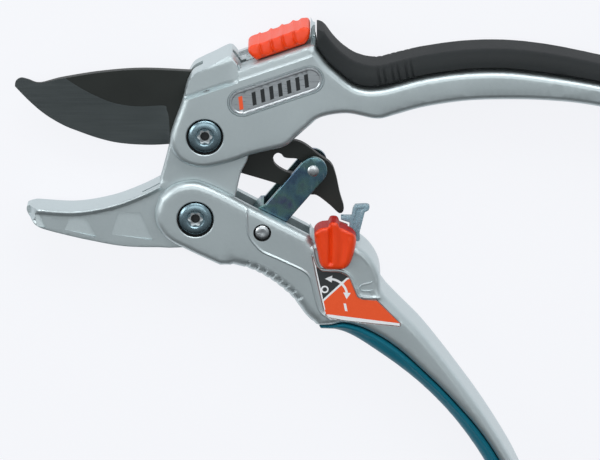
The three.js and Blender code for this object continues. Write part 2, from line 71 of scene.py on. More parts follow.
floor_mesh = bpy.data.meshes.new("floor")
floor_reach, floor_drop = 3, -0.0003
floor_mesh.from_pydata(
    [(x * floor_reach, y * floor_reach, floor_drop) for x, y in ((-1, -1), (1, -1), (1, 1), (-1, 1))],
    [], [(0, 1, 2, 3)])
floor = bpy.data.objects.new("floor", floor_mesh)
scene.collection.objects.link(floor)
floor_paint = bpy.data.materials.new("floor_paint")
floor_paint.use_nodes = True
paper = floor_paint.node_tree.nodes["Principled BSDF"]
paper.inputs["Base Color"].default_value = (0.07, 0.075, 0.08, 1)
paper.inputs["Roughness"].default_value = 0.9
paper.inputs["Specular IOR Level"].default_value = 0.1
paper.inputs["Emission Color"].default_value = (0.945, 0.952, 0.985, 1)
paper.inputs["Emission Strength"].default_value = 0.90
floor_mesh.materials.append(floor_paint)

world = bpy.data.worlds.new("studio")
world.use_nodes = True
sky = world.node_tree
where, part, level = (sky.nodes.new("ShaderNode" + kind) for kind in ("TexCoord", "SeparateXYZ", "MapRange"))
for k, value in ((1, -0.75), (2, 0.35), (3, 0.05), (4, 0.62)):
    level.inputs[k].default_value = value
sky.links.new(where.outputs["Generated"], part.inputs[0])
sky.links.new(part.outputs["Y"], level.inputs[0])
sky.links.new(level.outputs[0], sky.nodes["Background"].inputs["Strength"])
sky.nodes["Background"].inputs["Color"].default_value = (0.92, 0.96, 1.0, 1)
scene.world = world


def softbox(name, place, size, watts):
    lamp = bpy.data.objects.new(name, bpy.data.lights.new(name, "AREA"))
    lamp.data.shape = "RECTANGLE"
    lamp.data.size, lamp.data.size_y = size
    lamp.data.energy = watts
    lamp.location = aim + Vector(place)
    lamp.rotation_euler = (aim - lamp.location).to_track_quat("-Z", "Y").to_euler()
    scene.collection.objects.link(lamp)


softbox("top_box", (0.10, 0.95, 0.60), (1.2, 0.45), 6.5)
softbox("left_box", (-0.80, 0.25, 0.60), (0.4, 0.7), 3.0)
softbox("overhead_box", (0.05, 0.30, 1.5), (1.1, 0.7), 3.2)

# ---- Blade ----
# Flat steel plate with a black non-stick coat. The cutting side is ground back to a paler
# bevel, and the tail behind the pivot has the notched window that the ratchet pin climbs.


def curve(points, step):
    """Points along a smooth line through the given ones, without the last."""
    p = np.array(points, float)
    if len(p) == 2:
        n = max(1, math.ceil(np.linalg.norm(p[1] - p[0]) / step))
        return [p[0] + (p[1] - p[0]) * k / n for k in range(n)]
    q = np.vstack([p[0], p, p[-1]])
    out = []
    for a, b, c, d in zip(q, q[1:], q[2:], q[3:]):
        n = max(1, math.ceil(np.linalg.norm(c - b) / step))
        u, v = (c - a) / 2, (d - b) / 2
        for t in np.arange(n) / n:
            out.append((2 * b - 2 * c + u + v) * t**3 + (3 * c - 3 * b - 2 * u - v) * t**2 + u * t + b)
    return out


def outline(runs, step=0.8):
    """Closed outline from runs: each is a smooth line from where the last one ended."""
    out, last = [], None
    for i, run in enumerate(runs):
        path = ([] if last is None else [last]) + list(run) + ([runs[0][0]] if i == len(runs) - 1 else [])
        last = path[-1]
        out += curve(path, step)
    return np.array(out)


def line(points, step=0.7):
    return np.array(curve(points, step) + [np.array(points[-1], float)])


def gap(p, path, closed=True):
    """How far each point is from a line."""
    a = path if closed else path[:-1]
    ab = (np.roll(path, -1, 0) if closed else path[1:]) - a
    found = []
    for part in np.array_split(p, max(1, len(p) // 800)):
        t = ((part[:, None] - a) * ab).sum(2) / np.maximum((ab**2).sum(1), 1e-12)
        near = a + np.clip(t, 0, 1)[..., None] * ab
        found.append(np.sqrt(((part[:, None] - near) ** 2).sum(2).min(1)))
    return np.concatenate(found)


def inside(p, loop):
    x0, y0 = loop.T
    x1, y1 = np.roll(loop, -1, 0).T
    found = []
    for part in np.array_split(p, max(1, len(p) // 2000)):
        x, y = part.T[:, :, None]
        cross = ((y0 > y) != (y1 > y)) & (x < (x1 - x0) * (y - y0) / (y1 - y0 + 1e-12) + x0)
        found.append(cross.sum(1) % 2 == 1)
    return np.concatenate(found)


def ease(a, b, x):
    t = np.clip((x - a) / (b - a), 0, 1)
    return t * t * (3 - 2 * t)


def sideways(path, closed=True):
    """Unit vectors to the left of a line at each of its points."""
    if closed:
        along = np.roll(path, -1, 0) - np.roll(path, 1, 0)
    else:
        along = np.gradient(path, axis=0)
    left = np.column_stack([-along[:, 1], along[:, 0]])
    return left / np.maximum(np.linalg.norm(left, axis=1), 1e-9)[:, None]


def solid(name, points_mm, faces, slots=None):
    """Mesh object from points in millimetres about the blade pivot."""
    mesh = bpy.data.meshes.new(name)
    mesh.from_pydata(np.asarray(points_mm, float) / 1000 + np.array(zero), [], faces)
    if slots is not None:
        mesh.polygons.foreach_set("material_index", slots)
    piece = bpy.data.objects.new(name, mesh)
    scene.collection.objects.link(piece)
    return piece


def relief(name, edge_line, half, edge, shape=None, back=None, lines=(), holes=(), marks=(),
           grid=2.2, steps=5, zones=None):
    """Plate of even outline whose two faces are modelled in relief.

    edge is the radius that rounds its rim; shape and back turn each face's points, their
    distance from the rim and their plain height into the finished height. marks are closed
    lines that the faces' edges follow, and zones gives each face its finish.
    """
    loops = [edge_line, *holes]
    seeds = np.vstack(loops)

    def margin(p):
        return np.min([gap(p, loop) for loop in loops], axis=0)

    def sow(p, space, reach):
        nonlocal seeds
        p = p[np.sum([inside(p, loop) for loop in loops], axis=0) % 2 == 1]
        p = p[margin(p) > reach]
        p = p[np.sort(np.unique(np.round(p / max(space, 0.3)).astype(int), axis=0, return_index=True)[1])]
        tree = KDTree(len(seeds))
        for i, (x, y) in enumerate(seeds):
            tree.insert((x, y, 0), i)
        tree.balance()
        keep = [tree.find((x, y, 0))[2] > space for x, y in p]
        seeds = np.vstack([seeds, p[keep]])

    rings = [edge * (1 - math.cos(math.pi / 2 * k / steps)) for k in range(1, steps + 1)] if edge else []
    for d0, d1 in zip([0] + rings, rings):
        for i, loop in enumerate(loops):
            turn = np.sum(loop[:, 0] * np.roll(loop[:, 1], -1) - loop[:, 1] * np.roll(loop[:, 0], -1))
            inward = sideways(loop) * (1 if (turn > 0) == (i == 0) else -1)
            sow(loop + inward * d1, 0.85 * (d1 - d0), 0.97 * d1)
    for path, offsets in lines:
        left = sideways(path, False)
        for offset in offsets:
            sow(path + left * offset, 0.14, 0.08)
    lo, hi = edge_line.min(0), edge_line.max(0)
    gx, gy = np.meshgrid(np.arange(lo[0], hi[0], grid), np.arange(lo[1], hi[1], grid * 0.87))
    gx = gx + np.where(np.arange(len(gx)) % 2, grid / 2, 0)[:, None]
    sow(np.column_stack([gx.ravel(), gy.ravel()]), 0.5 * grid, max(0.5, 0.9 * edge))

    start, rim = 0, []
    for loop in loops:
        n = len(loop)
        rim += [(start + k, start + (k + 1) % n) for k in range(n)]
        start += n
    for mark in marks:
        n, start = len(mark), len(seeds)
        seeds = np.vstack([seeds, mark])
        rim += [(start + k, start + (k + 1) % n) for k in range(n)]
    made = delaunay_2d_cdt([Vector(p) for p in seeds], rim, [], 0, 1e-6)
    p, tris = np.array([tuple(v) for v in made[0]]), np.array(made[2])
    a, b, c = p[tris[:, 0]], p[tris[:, 1]], p[tris[:, 2]]
    area = (b[:, 0] - a[:, 0]) * (c[:, 1] - a[:, 1]) - (b[:, 1] - a[:, 1]) * (c[:, 0] - a[:, 0])
    tris[area < 0] = tris[area < 0][:, ::-1]
    middle = (a + b + c) / 3
    keep = (np.sum([inside(middle, loop) for loop in loops], axis=0) % 2 == 1) & (abs(area) > 1e-7)
    tris, middle = tris[keep], middle[keep]

    d = margin(p)
    d[d < 1e-4] = 0
    t = np.clip(1 - d / edge, 0, 1) if edge else np.zeros(len(p))
    z = half - edge * (1 - np.sqrt(1 - t * t))
    front = shape(p, d, z.copy()) if shape else z
    rear = back(p, d, z.copy()) if back else front
    n = len(p)
    edges = {(i, j) for t3 in tris for i, j in ((t3[0], t3[1]), (t3[1], t3[2]), (t3[2], t3[0]))}
    sides = [(j, i, i + n, j + n) for i, j in edges if (j, i) not in edges]
    faces = [tuple(t3) for t3 in tris] + [(k + n, j + n, i + n) for i, j, k in tris] + sorted(sides)
    slots = None
    if zones:
        upper, lower = zones(middle)
        slots = np.concatenate([upper, lower, np.zeros(len(sides))]).astype(int)
    return solid(name, np.vstack([np.column_stack([p, front]), np.column_stack([p, -rear])]), faces, slots)


def even(piece, degrees=32):
    """Smooth shading that keeps the sharp edges and flattens the flats."""
    piece.data.shade_smooth()
    piece.data.set_sharp_from_angle(angle=math.radians(degrees))
    piece.modifiers.new("even_shading", "WEIGHTED_NORMAL").keep_sharp = True


def rgb(r, g, b):
    """Linear colour from the 0-255 numbers of a colour chart."""
    return tuple((v / 255 / 12.92) if v < 10 else ((v / 255 + 0.055) / 1.055) ** 2.4 for v in (r, g, b))


class Socket:
    """One output of a finish's nodes; sums of it and plain numbers add their Math nodes."""

    def __init__(self, finish, out):
        self.finish, self.out = finish, out

    def sum(self, operation, a, b):
        return self.finish.add("Math", {"operation": operation}, {0: a, 1: b})

    def __add__(self, other):
        return self.sum("ADD", self, other)

    def __mul__(self, other):
        return self.sum("MULTIPLY", self, other)

    def __sub__(self, other):
        return self.sum("SUBTRACT", self, other)

    def __rsub__(self, other):
        return self.sum("SUBTRACT", other, self)

    __radd__, __rmul__ = __add__, __mul__


class Finish:
    """A surface finish: a material, with one method that adds a node to it."""

    def __init__(self, name, metallic=0.0, **fixed):
        self.material = bpy.data.materials.new(name)
        self.material.use_nodes = True
        self.tree = self.material.node_tree
        self.shader = self.tree.nodes["Principled BSDF"]
        self.shader.inputs["Metallic"].default_value = metallic
        for key, value in fixed.items():
            self.shader.inputs[key.replace("_", " ")].default_value = value
        self.where = self.add("TexCoord", {}, {}, "Object")

    def add(self, kind, settings, sockets, out=0):
        node = self.tree.nodes.new("ShaderNode" + kind)
        for key, value in settings.items():
            if key == "stops":
                while len(node.color_ramp.elements) < len(value):
                    node.color_ramp.elements.new(0.5)
                for stop, (place, colour) in zip(node.color_ramp.elements, value):
                    stop.position, stop.color = place, (*colour, 1)
            else:
                setattr(node, key, value)
        for key, value in sockets.items():
            self.join(node.inputs[key], value)
        return Socket(self, node.outputs[out])

    def join(self, socket, value):
        if isinstance(value, Socket):
            self.tree.links.new(value.out, socket)
        elif isinstance(value, tuple) and len(value) == 3 and socket.type == "RGBA":
            socket.default_value = (*value, 1)
        else:
            socket.default_value = value

    def noise(self, scale, detail=2.0, stretch=(1, 1, 1), roughness=0.5):
        at = self.where if stretch == (1, 1, 1) else self.add(
            "VectorMath", {"operation": "MULTIPLY"}, {0: self.where, 1: stretch})
        return self.add(
            "TexNoise", {}, {"Vector": at, "Scale": scale, "Detail": detail, "Roughness": roughness})

    def blend(self, factor, a, b):
        return self.add("Mix", {"data_type": "RGBA"}, {0: factor, 6: a, 7: b}, 2)

    def spread(self, value, lo, hi, a=0.0, b=1.0):
        """Value's stretch from lo to hi laid out from a to b, held at the ends."""
        return self.add("MapRange", {}, {"Value": value, 1: lo, 2: hi, 3: a, 4: b})

    def set(self, colour, roughness, height=None, depth=0.00002, **more):
        self.join(self.shader.inputs["Base Color"], colour)
        self.join(self.shader.inputs["Roughness"], roughness)
        if height is not None:
            bump = self.add("Bump", {}, {"Height": height, "Distance": depth, "Strength": 1.0})
            self.join(self.shader.inputs["Normal"], bump)
        for key, value in more.items():
            self.join(self.shader.inputs[key.replace("_", " ")], value)
        return self.material


black_coat = Finish("black_coat", 0.1, Specular_IOR_Level=0.45)
pebble, haze = black_coat.noise(5200, 2), black_coat.noise(90, 4)
coat = black_coat.set(
    black_coat.blend(haze, rgb(24, 28, 26), rgb(31, 36, 33)),
    black_coat.spread(haze + pebble * 0.4, 0.4, 1.0, 0.40, 0.56), pebble, 0.000012)
ground_steel = Finish("ground_bevel", 0.35)
strokes, haze = ground_steel.noise(420, 3, (0.15, 6, 1)), ground_steel.noise(70, 3)
ground = ground_steel.set(
    ground_steel.blend(strokes * 0.6 + haze * 0.4, rgb(58, 64, 65), rgb(80, 87, 88)),
    ground_steel.spread(strokes, 0.3, 0.7, 0.34, 0.5), strokes, 0.00001)

blade_half = 1.25
cutting_edge = [
    (-11.3, -4.9), (-16.6, -5.2), (-23.1, -5.0), (-28.9, -4.3), (-34.6, -2.8), (-40.3, -0.7),
    (-45.2, 1.4), (-50.9, 5.0), (-55.8, 9.4), (-60.1, 14.1)]
blade_line = outline([
    [(-60.1, 14.1), (-59.8, 15.8), (-58.2, 16.9), (-55.8, 16.4), (-52.2, 15.3), (-45.2, 16.9),
     (-33.0, 18.9), (-19.5, 19.9), (-2.6, 19.2)],
    [(-1.8, 15.0), (1.0, 11.3), (6.0, 9.6), (9.8, 5.6)],
    [(13.4, 7.4)], [(14.55, 4.73)], [(11.41, 0.33)],
    [(11.6, -2.2), (13.4, -3.7), (20.0, -3.9), (29.4, -3.8), (36.4, -8.6), (39.9, -11.3), (41.4, -15.0),
     (42.7, -21.1), (44.0, -26.1), (42.6, -27.7), (39.4, -24.8), (35.4, -21.7), (32.4, -21.2),
     (22.4, -17.7), (11.8, -14.4), (2.0, -11.4), (-4.5, -10.3), (-9.0, -7.4), (-11.3, -4.9)],
    cutting_edge[1:-1]])
window = outline([
    [(21.4, -9.4), (21.9, -8.2), (23.0, -7.6), (24.1, -8.0), (24.8, -8.9), (26.0, -9.3),
     (28.9, -9.5), (30.4, -10.3), (32.6, -10.3), (34.4, -10.4), (35.7, -11.2), (35.9, -12.6),
     (35.0, -13.8), (33.0, -14.4), (26.9, -14.2), (24.0, -13.0), (22.0, -11.3)]], 0.4)
bore = np.array([(4.25 * math.cos(a), 4.25 * math.sin(a)) for a in np.linspace(0, 2 * math.pi, 48, False)])
grind_line = line([
    (-45.0, 17.6), (-43.4, 16.6), (-39.5, 14.0), (-35.4, 11.7), (-30.5, 9.5), (-25.6, 8.25),
    (-20.3, 7.8), (-13.0, 8.1), (-12.2, 6.7), (-11.5, 3.7), (-11.2, -5.6)])
grind_area = np.vstack([grind_line, np.array([(-20, -12), (-50, -8), (-66, 10), (-66, 20), (-46, 19)])])
edge_path = line(cutting_edge)


def blade_face(p, d, z):
    from_edge, from_line = gap(p, edge_path, False), gap(p, grind_line, False)
    t = from_edge / (from_edge + from_line + 1e-6)
    hollow = 0.16 + (blade_half - 0.16) * (t - 0.35 * t * (1 - t))
    return np.where(inside(p, grind_area), np.minimum(z, hollow), z)


blade = relief(
    "blade_plate", blade_line, blade_half, 0.12, blade_face, holes=(window, bore), grid=3.0, steps=2,
    lines=[(grind_line, (-0.5, 0.0, 0.5)), (edge_path, (-4, -2, 2, 4))],
    zones=lambda m: [inside(m, grind_area)] * 2)
blade.data.materials.append(coat)
blade.data.materials.append(ground)
even(blade, 10)
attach(blade, "blade_body")
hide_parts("blade")

# ---- Anvil frame ----
# Cast aluminium jaw with a flat anvil face, and a forked cheek that carries it up to the
# blade pivot. The pockets in its sides are cast in; the blade runs in the slot.
frame_half = 6.0


def settle(piece):
    """Leaves a piece as its modifiers have made it."""
    made = bpy.data.meshes.new_from_object(piece.evaluated_get(bpy.context.evaluated_depsgraph_get()))
    piece.modifiers.clear()
    piece.data = made


def slab(points, z0, z1):
    """Prism between two heights, for cutting."""
    p = np.array(points, float)
    if np.sum(p[:, 0] * np.roll(p[:, 1], -1) - p[:, 1] * np.roll(p[:, 0], -1)) < 0:
        p = p[::-1]
    n = len(p)
    ends = [tuple(range(n, 2 * n)), tuple(range(n - 1, -1, -1))]
    sides = [(k, (k + 1) % n, (k + 1) % n + n, k + n) for k in range(n)]
    heights = [np.column_stack([p, np.full(n, z)]) for z in (z0, z1)]
    return solid("cutter", np.vstack(heights), ends + sides)


def ring(centre, r, n=64):
    return np.array([(centre[0] + r * math.cos(a), centre[1] + r * math.sin(a))
                     for a in np.linspace(0, 2 * math.pi, n, False)])


def outward(piece):
    """Turns every face of a closed piece to look outward."""
    shape = bmesh.new()
    shape.from_mesh(piece.data)
    bmesh.ops.recalc_face_normals(shape, faces=shape.faces)
    shape.to_mesh(piece.data)
    shape.free()
    return piece


def turned(name, centre, profile, sides=64):
    """Solid turned about an upright axis from (radius, height) pairs, axis to axis."""
    points, rows, faces = [], [], []
    for r, z in profile:
        rows.append(range(len(points), len(points) + (sides if r else 1)))
        points += [(*p, z) for p in ring(centre, r, sides)] if r else [(*centre, z)]
    for low, high in zip(rows, rows[1:]):
        for k in range(sides):
            m = (k + 1) % sides
            corner = [low[k % len(low)], low[m % len(low)], high[m % len(high)], high[k % len(high)]]
            faces.append(tuple(dict.fromkeys(corner)))
    return outward(solid(name, points, faces))


def both_sides(centre, profile):
    """The same turned cutter at the front and at the back."""
    return [turned("cutter", centre, [(r, side * z) for r, z in profile]) for side in (1, -1)]


def carve(piece, *cutters, slot=0):
    for cutter in cutters:
        for finish in piece.data.materials:
            cutter.data.materials.append(finish)
        cutter.data.polygons.foreach_set("material_index", [slot] * len(cutter.data.polygons))
        cut = piece.modifiers.new("cut", "BOOLEAN")
        cut.operation, cut.solver, cut.object = "DIFFERENCE", "EXACT", cutter
        settle(piece)
        bpy.data.objects.remove(cutter)


cast = Finish("satin_cast_aluminium", 0.82)
sand, cloud, fleck = cast.noise(3300, 3), cast.noise(38, 5), cast.noise(900, 2)
cast_finish = cast.set(
    cast.blend(cloud * 0.7 + fleck * 0.3, (0.50, 0.575, 0.59), (0.59, 0.665, 0.68)),
    cast.spread(cloud * 0.5 + sand * 0.5, 0.3, 0.7, 0.36, 0.50), sand * 0.8 + fleck * 0.6, 0.000018)

anvil_face = [
    (-14.6, -17.0), (-20.7, -20.08), (-29.8, -23.5), (-41.1, -25.5), (-52.2, -25.0), (-55.9, -24.5)]
frame_line = outline([
    anvil_face,
    [(-56.9, -24.8), (-57.1, -26.0), (-56.6, -27.4), (-55.4, -29.3), (-53.0, -31.3),
     (-47.7, -33.0), (-37.0, -35.6), (-24.8, -37.7),
     (-9.3, -37.8), (-2.4, -36.9), (3.6, -33.6), (7.6, -27.6), (9.3, -21.5)],
    [(10.2, -17.5), (11.4, -12.6), (13.6, -7.6), (13.4, -1.0), (10.8, 8.0), (5.4, 16.6)],
    [(0.0, 15.9), (-5.2, 12.0)],
    [(-9.4, 4.0), (-10.9, -2.3), (-12.4, -9.0)]])
pockets = [
    [(-54.3, -26.9), (-52.9, -26.9), (-50.9, -31.2), (-54.0, -30.6)],
    [(-43.6, -28.2), (-37.9, -28.2), (-34.9, -34.4), (-44.9, -31.8)],
    [(-28.0, -26.4), (-20.8, -26.0), (-17.0, -35.4), (-30.0, -33.4)]]
lip = line(anvil_face)


def anvil_side(p, d, z):
    x, y = p.T
    below = gap(p, lip, False)
    z = z - 0.75 * ease(0.5, 1.9, below) * (x < -12) * ease(-11, -16, x)
    tip = np.minimum(x + 52.6, 0)
    return np.minimum(z, np.maximum(6.1 - tip**2 * 0.30, 2.5))


frame_piece = relief(
    "anvil_frame_casting", frame_line, frame_half, 0.5, anvil_side, grid=1.5, steps=3,
    lines=[(lip, (0.6, 1.0, 1.5, 2.0)), (line([(-52.6, -25), (-52.6, -32)]), (0, 1, 2, 3))])
recessed = frame_half - 0.63
for pocket in pockets:
    p, n = np.array(pocket), len(pocket)
    slant = (p - p.min(0)) @ (0.8, 0.6)
    pocket_floor = recessed - 1.05 * slant / slant.max()
    for side in (1, -1):
        walls = [(k, (k + 1) % n, (k + 1) % n + n, k + n) for k in range(n)]
        fan = [(0, k, k + 1) for k in range(1, n - 1)]
        ends = np.column_stack([p, side * pocket_floor]), np.column_stack([p, np.full(n, side * 12)])
        lid = [tuple(n + i for i in t[::-1]) for t in fan]
        carve(frame_piece, outward(solid("cutter", np.vstack(ends), walls + fan + lid)))
carve(
    frame_piece,
    slab(outline([
        [(-12.6, -16.9), (-6.0, -15.4), (0.0, -15.4), (9.0, -18.4)],
        [(30, -18.4)], [(30, 30)], [(-30, 30)], [(-30, -12)], [(-14.6, -16.9)]]), -2, 2),
    slab(ring((-3.2, -27.2), 5.6), -2, 2),
    slab([(-3.2, -32.0), (20, -32.0), (20, -21.0), (-3.2, -22.4)], -2, 2),
    slab(ring((0, 0), 4.3), -12, 12),
    slab(ring((-3.2, -27.2), 4.3), -12, 12),
    slab(ring((1.0, 13.6), 1.8), -12, 12),
    slab([(-20.2, -19.2), (-13.2, -15.4), (-13.2, -17.6), (-20.0, -21.0)], 2.7, 3.9))
frame_piece.data.materials.append(cast_finish)
even(frame_piece)
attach(frame_piece, "upper_body")
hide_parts("anvil_frame")

# ---- Upper handle ----
# One aluminium casting, satin finished: a head with a domed shoulder over the blade tail, a
# ledge for the lock slider, and a long arm whose outer side is covered by the rubber grip.
handle_half = 9.5
wall_inner = 6.3
grip_line = [
    (35.3, 28.6), (38.4, 24.3), (41.6, 21.3), (46.0, 17.7), (50.2, 16.1), (56.6, 16.4),
    (68.8, 19.6), (81.6, 21.5), (94.4, 21.8), (107.2, 20.4), (120.0, 18.3), (134.0, 15.3),
    (146.0, 11.6), (152.6, 8.4)]
head_line = outline([
    [(-5.4, 17.0), (-7.4, 10.4), (-9.6, 4.4), (-11.0, -1.0), (-10.0, -5.4), (-6.8, -8.8),
     (-0.6, -10.4), (8.0, -8.6), (14.4, -6.2), (20.8, -4.6), (25.6, -3.2), (28.6, -0.6),
     (33.0, 3.4), (36.8, 6.2), (44.8, 7.4), (53.8, 5.7), (59.2, 6.7), (68.8, 9.4),
     (81.6, 11.4), (94.4, 11.9), (107.2, 11.6), (120.0, 10.3), (134.0, 7.2), (149.0, 1.6)],
    [(153.4, 1.2), (155.2, 4.0), (153.0, 7.4)],
    [(x, y - 0.6) for x, y in reversed(grip_line[:-1])],
    [(34.8, 30.6)], [(34.8, 34.6)], [(33.4, 34.8)], [(33.4, 29.8)], [(11.5, 22.2)],
    [(9.6, 25.0), (7.7, 26.0), (3.2, 23.8), (-0.6, 22.0), (-3.6, 20.2)]])
slope = math.radians(19.1)
crease = line([(-12.0, 8.3 + 6.0 * math.tan(slope)), (33.6, 8.3 + 51.6 * math.tan(slope))])
fin = line([(34.1, 30.0), (34.1, 34.8)], 0.5)
badge_ends = [(11.8, 11.4), (33.0, 18.8)]


def lozenge(r, n=20):
    (ax, ay), (bx, by) = badge_ends
    turn = math.atan2(by - ay, bx - ax)
    return np.array([
        (cx + r * math.cos(turn + start + math.pi * k / n), cy + r * math.sin(turn + start + math.pi * k / n))
        for (cx, cy), start in (((bx, by), -math.pi / 2), ((ax, ay), math.pi / 2)) for k in range(n + 1)])


def fine(loop, step=0.7):
    """A closed loop with its long sides cut into short ones."""
    return np.array([q for a, b in zip(loop, np.roll(loop, -1, 0)) for q in curve([a, b], step)])


badge_bed = fine(lozenge(4.6))
crease_edges = []
for offset in (0.02, 0.48):
    path = crease + sideways(crease, False) * offset
    path = path[inside(path, head_line)]
    path = path[gap(path, head_line) > 0.4]
    crease_edges.append(np.vstack([path, path[-2:0:-1]]))


def head_face(p, d, z):
    x, y = p.T
    above = (y - 8.3 - (x + 18) * math.tan(slope)) * math.cos(slope)
    chamfer = handle_half - 0.30 * ease(0, 0.4, above) - 0.07 * np.maximum(above, 0)
    rise = 9.0 - 0.9 * np.clip((4 - above) / 4, 0, 1) ** 2 - 5.6 * (np.maximum(above - 4, 0) / 9) ** 2
    join = ease(13.0, 6.0, x)
    dome = chamfer * (1 - join) + np.minimum(rise, handle_half - 1.1 * ease(0, 0.5, above)) * join
    shoulder = chamfer - 1.5 * ease(3.1, 3.7, above)
    band = np.where(x < 10.6, dome, shoulder)
    band = np.where(x > 33.5, 9.5 - 7.6 * ease(3.0, 4.4, above), band)
    fade = ease(33.0, 35.5, x) * ease(27.5, 24.5, y)
    band = band * (1 - fade) + handle_half * fade
    begin = ease(-8.6, -5.2, x)
    z = np.where(above > 0, np.minimum(z, handle_half * (1 - begin) + band * begin), z)
    outer = gap(p, arm_under, False)
    soft = 3.0
    t = np.clip(1 - outer / soft, 0, 1) * ease(46, 60, x)
    return np.minimum(z, handle_half - soft * 0.8 * (1 - np.sqrt(1 - t * t)))


def head_front(p, d, z):
    z = head_face(p, d, z)
    off = gap(p, badge_bed) * np.where(inside(p, badge_bed), -1, 1)
    return z - 0.50 * ease(0.12, -0.12, off)


arm_under = line([
    (44.8, 7.4), (53.8, 5.7), (59.2, 6.7), (68.8, 9.4), (81.6, 11.4), (94.4, 11.9),
    (107.2, 11.6), (120.0, 10.3), (134.0, 7.2), (149.0, 1.6)])
head = relief(
    "upper_handle_casting", head_line, handle_half, 2.1, head_front, head_face, grid=2.2, steps=6,
    lines=[(crease, (-0.5, 0.9, 1.4, 2, 2.7, 3.4, 4.2, 5, 6, 7, 7.8, 8.5)),
           (fin, (-0.4, 0.0, 0.4)),
           (line([(10.6, 18.2), (10.6, 24.5)], 0.5), (-0.05, 0.1))],
    marks=[fine(lozenge(4.72)), fine(lozenge(4.48)), *crease_edges])
carve(
    head,
    slab(outline([
        [(-20, 14.0)], [(-6.0, 14.0)], [(0.0, 17.6)], [(6.0, 21.0)], [(9.0, 20.6)], [(12.5, 18.6)],
        [(29.0, 24.4)], [(33.0, 21.0), (36.0, 16.0), (41.0, 12.4)],
        [(47.4, 11.0)], [(47.4, -20)], [(-20, -20)]], 3), -wall_inner, wall_inner),
    slab([(47, -5), (55.5, -5), (54, 9.5), (50, 13.6), (40, 15.2), (36, 15.2), (36, -5)], -2, 2),
    slab([(-20, 30), (-20, 12), (-1.0, 12), (-0.6, 14.0), (-0.6, 30)], -2, 2),
    slab([(5.4, 24.9), (5.4, 16), (17.6, 16), (17.6, 30), (8.8, 30), (8.8, 25.4)], -1.7, 1.7),
    slab(ring((1.0, 13.6), 1.6, 32), -12, 8.3))
bolt_bed = [(0, 12), (6.25, 12), (6.25, 9.6), (5.9, 9.25), (0, 9.25)]
bolt_well = [(0, 9.3), (5.88, 9.3), (5.88, 7.5), (0, 7.5)]
# Near-black finish, mottled a little, for the bolt wells, bores and socket middles: painted shade for the
# dark gaps and holes round the heads.
shade_paint = Finish("painted_recess_shade", 0.2)
shade_mottle = shade_paint.noise(900, 3)
recess_shade_finish = shade_paint.set(
    shade_paint.blend(shade_mottle, (0.012, 0.014, 0.015), (0.03, 0.034, 0.036)),
    shade_paint.spread(shade_mottle, 0.3, 0.7, 0.5, 0.7), shade_mottle, 0.00001)
head.data.materials.append(cast_finish)
head.data.materials.append(recess_shade_finish)
carve(head, *both_sides((0, 0), bolt_bed))
# The well round the screw head and the bore take the painted shade finish.
carve(head, *both_sides((0, 0), bolt_well), slab(ring((0, 0), 3.3), -12, 12), slot=1)
even(head)
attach(head, "upper_body")
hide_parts("upper_handle")

# ---- Badge plate ----
# Small pressed nameplate glued into the bed in the head. It carries no name: a row of
# slanted printed bars stands in for one.
badge_line = fine(lozenge(4.15))
badge_middle = np.mean(badge_ends, axis=0)
badge_turn = math.atan2(badge_ends[1][1] - badge_ends[0][1], badge_ends[1][0] - badge_ends[0][0])


def on_badge(u, v):
    return (badge_middle[0] + u * math.cos(badge_turn) - v * math.sin(badge_turn),
            badge_middle[1] + u * math.sin(badge_turn) + v * math.cos(badge_turn))


badge_bars = [np.array([on_badge(u - 0.75, -2.1), on_badge(u + 0.55, -2.1), on_badge(u + 1.55, 2.1),
                        on_badge(u + 0.25, 2.1)]) for u in (-12.0, -7.6, -4.7, -1.8, 1.1, 4.0, 6.9, 9.8)]


def badge_face(p, d, z):
    return 9.20 + 0.48 * ease(0.0, 0.35, d) - 0.20 * ease(0.75, 1.05, d)


def badge_zones(m):
    which = np.zeros(len(m))
    for k, bar in enumerate(badge_bars):
        which[inside(m, bar)] = 2 if k == 0 else 1
    return which, np.zeros(len(m))


badge = relief(
    "badge_nameplate", badge_line, 9.3, 0.0, badge_face, lambda p, d, z: np.full(len(p), -9.15),
    grid=1.1, zones=badge_zones,
    marks=[*badge_bars, *(fine(lozenge(4.15 - r)) for r in (0.18, 0.35, 0.75, 0.9, 1.05))])
pressed = Finish("pressed_badge_metal", 0.9)
brush = pressed.noise(260, 4, (1, 9, 1))
print_black = Finish("badge_black_print", 0.0)
print_orange = Finish("badge_orange_print", 0.0)
badge.data.materials.append(pressed.set(
    pressed.blend(brush, (0.42, 0.46, 0.48), (0.58, 0.62, 0.64)), pressed.spread(brush, 0.3, 0.7, 0.26, 0.40),
    brush, 0.000006))
for ink, dark, pale in ((print_black, rgb(24, 28, 30), rgb(34, 39, 41)),
                        (print_orange, rgb(226, 78, 32), rgb(240, 98, 50))):
    dots = ink.noise(2600, 2)
    badge.data.materials.append(ink.set(
        ink.blend(dots, dark, pale), ink.spread(dots, 0.3, 0.7, 0.34, 0.46), dots, 0.000004))
even(badge)
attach(badge, "upper_body")
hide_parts("badge_plate")

# ---- Upper grip ----
# Black soft rubber moulded over the outside of the upper arm, crowned all round, with three
# pairs of short grip ribs where the palm starts.
grip_half = 9.2
grip_outline = outline([
    grip_line,
    [(155.8, 11.4), (154.4, 15.2), (147.0, 17.6), (134.0, 20.8), (120.0, 24.1), (107.2, 26.6),
     (94.4, 27.9), (81.6, 27.6), (68.8, 25.8), (60.2, 23.8), (54.4, 22.4), (49.0, 23.2),
     (44.6, 25.6), (40.6, 29.4), (37.6, 33.4)],
    [(35.3, 34.4)], []])
grip_foot = line(grip_line)
rib_lines = [line([(x - 0.5, y), (x + 0.7, y - 5.2)], 0.5)
             for x, y in ((54.6, 22.6), (56.4, 22.9), (59.0, 23.2), (60.8, 23.6), (63.2, 24.2), (65.0, 24.6))]


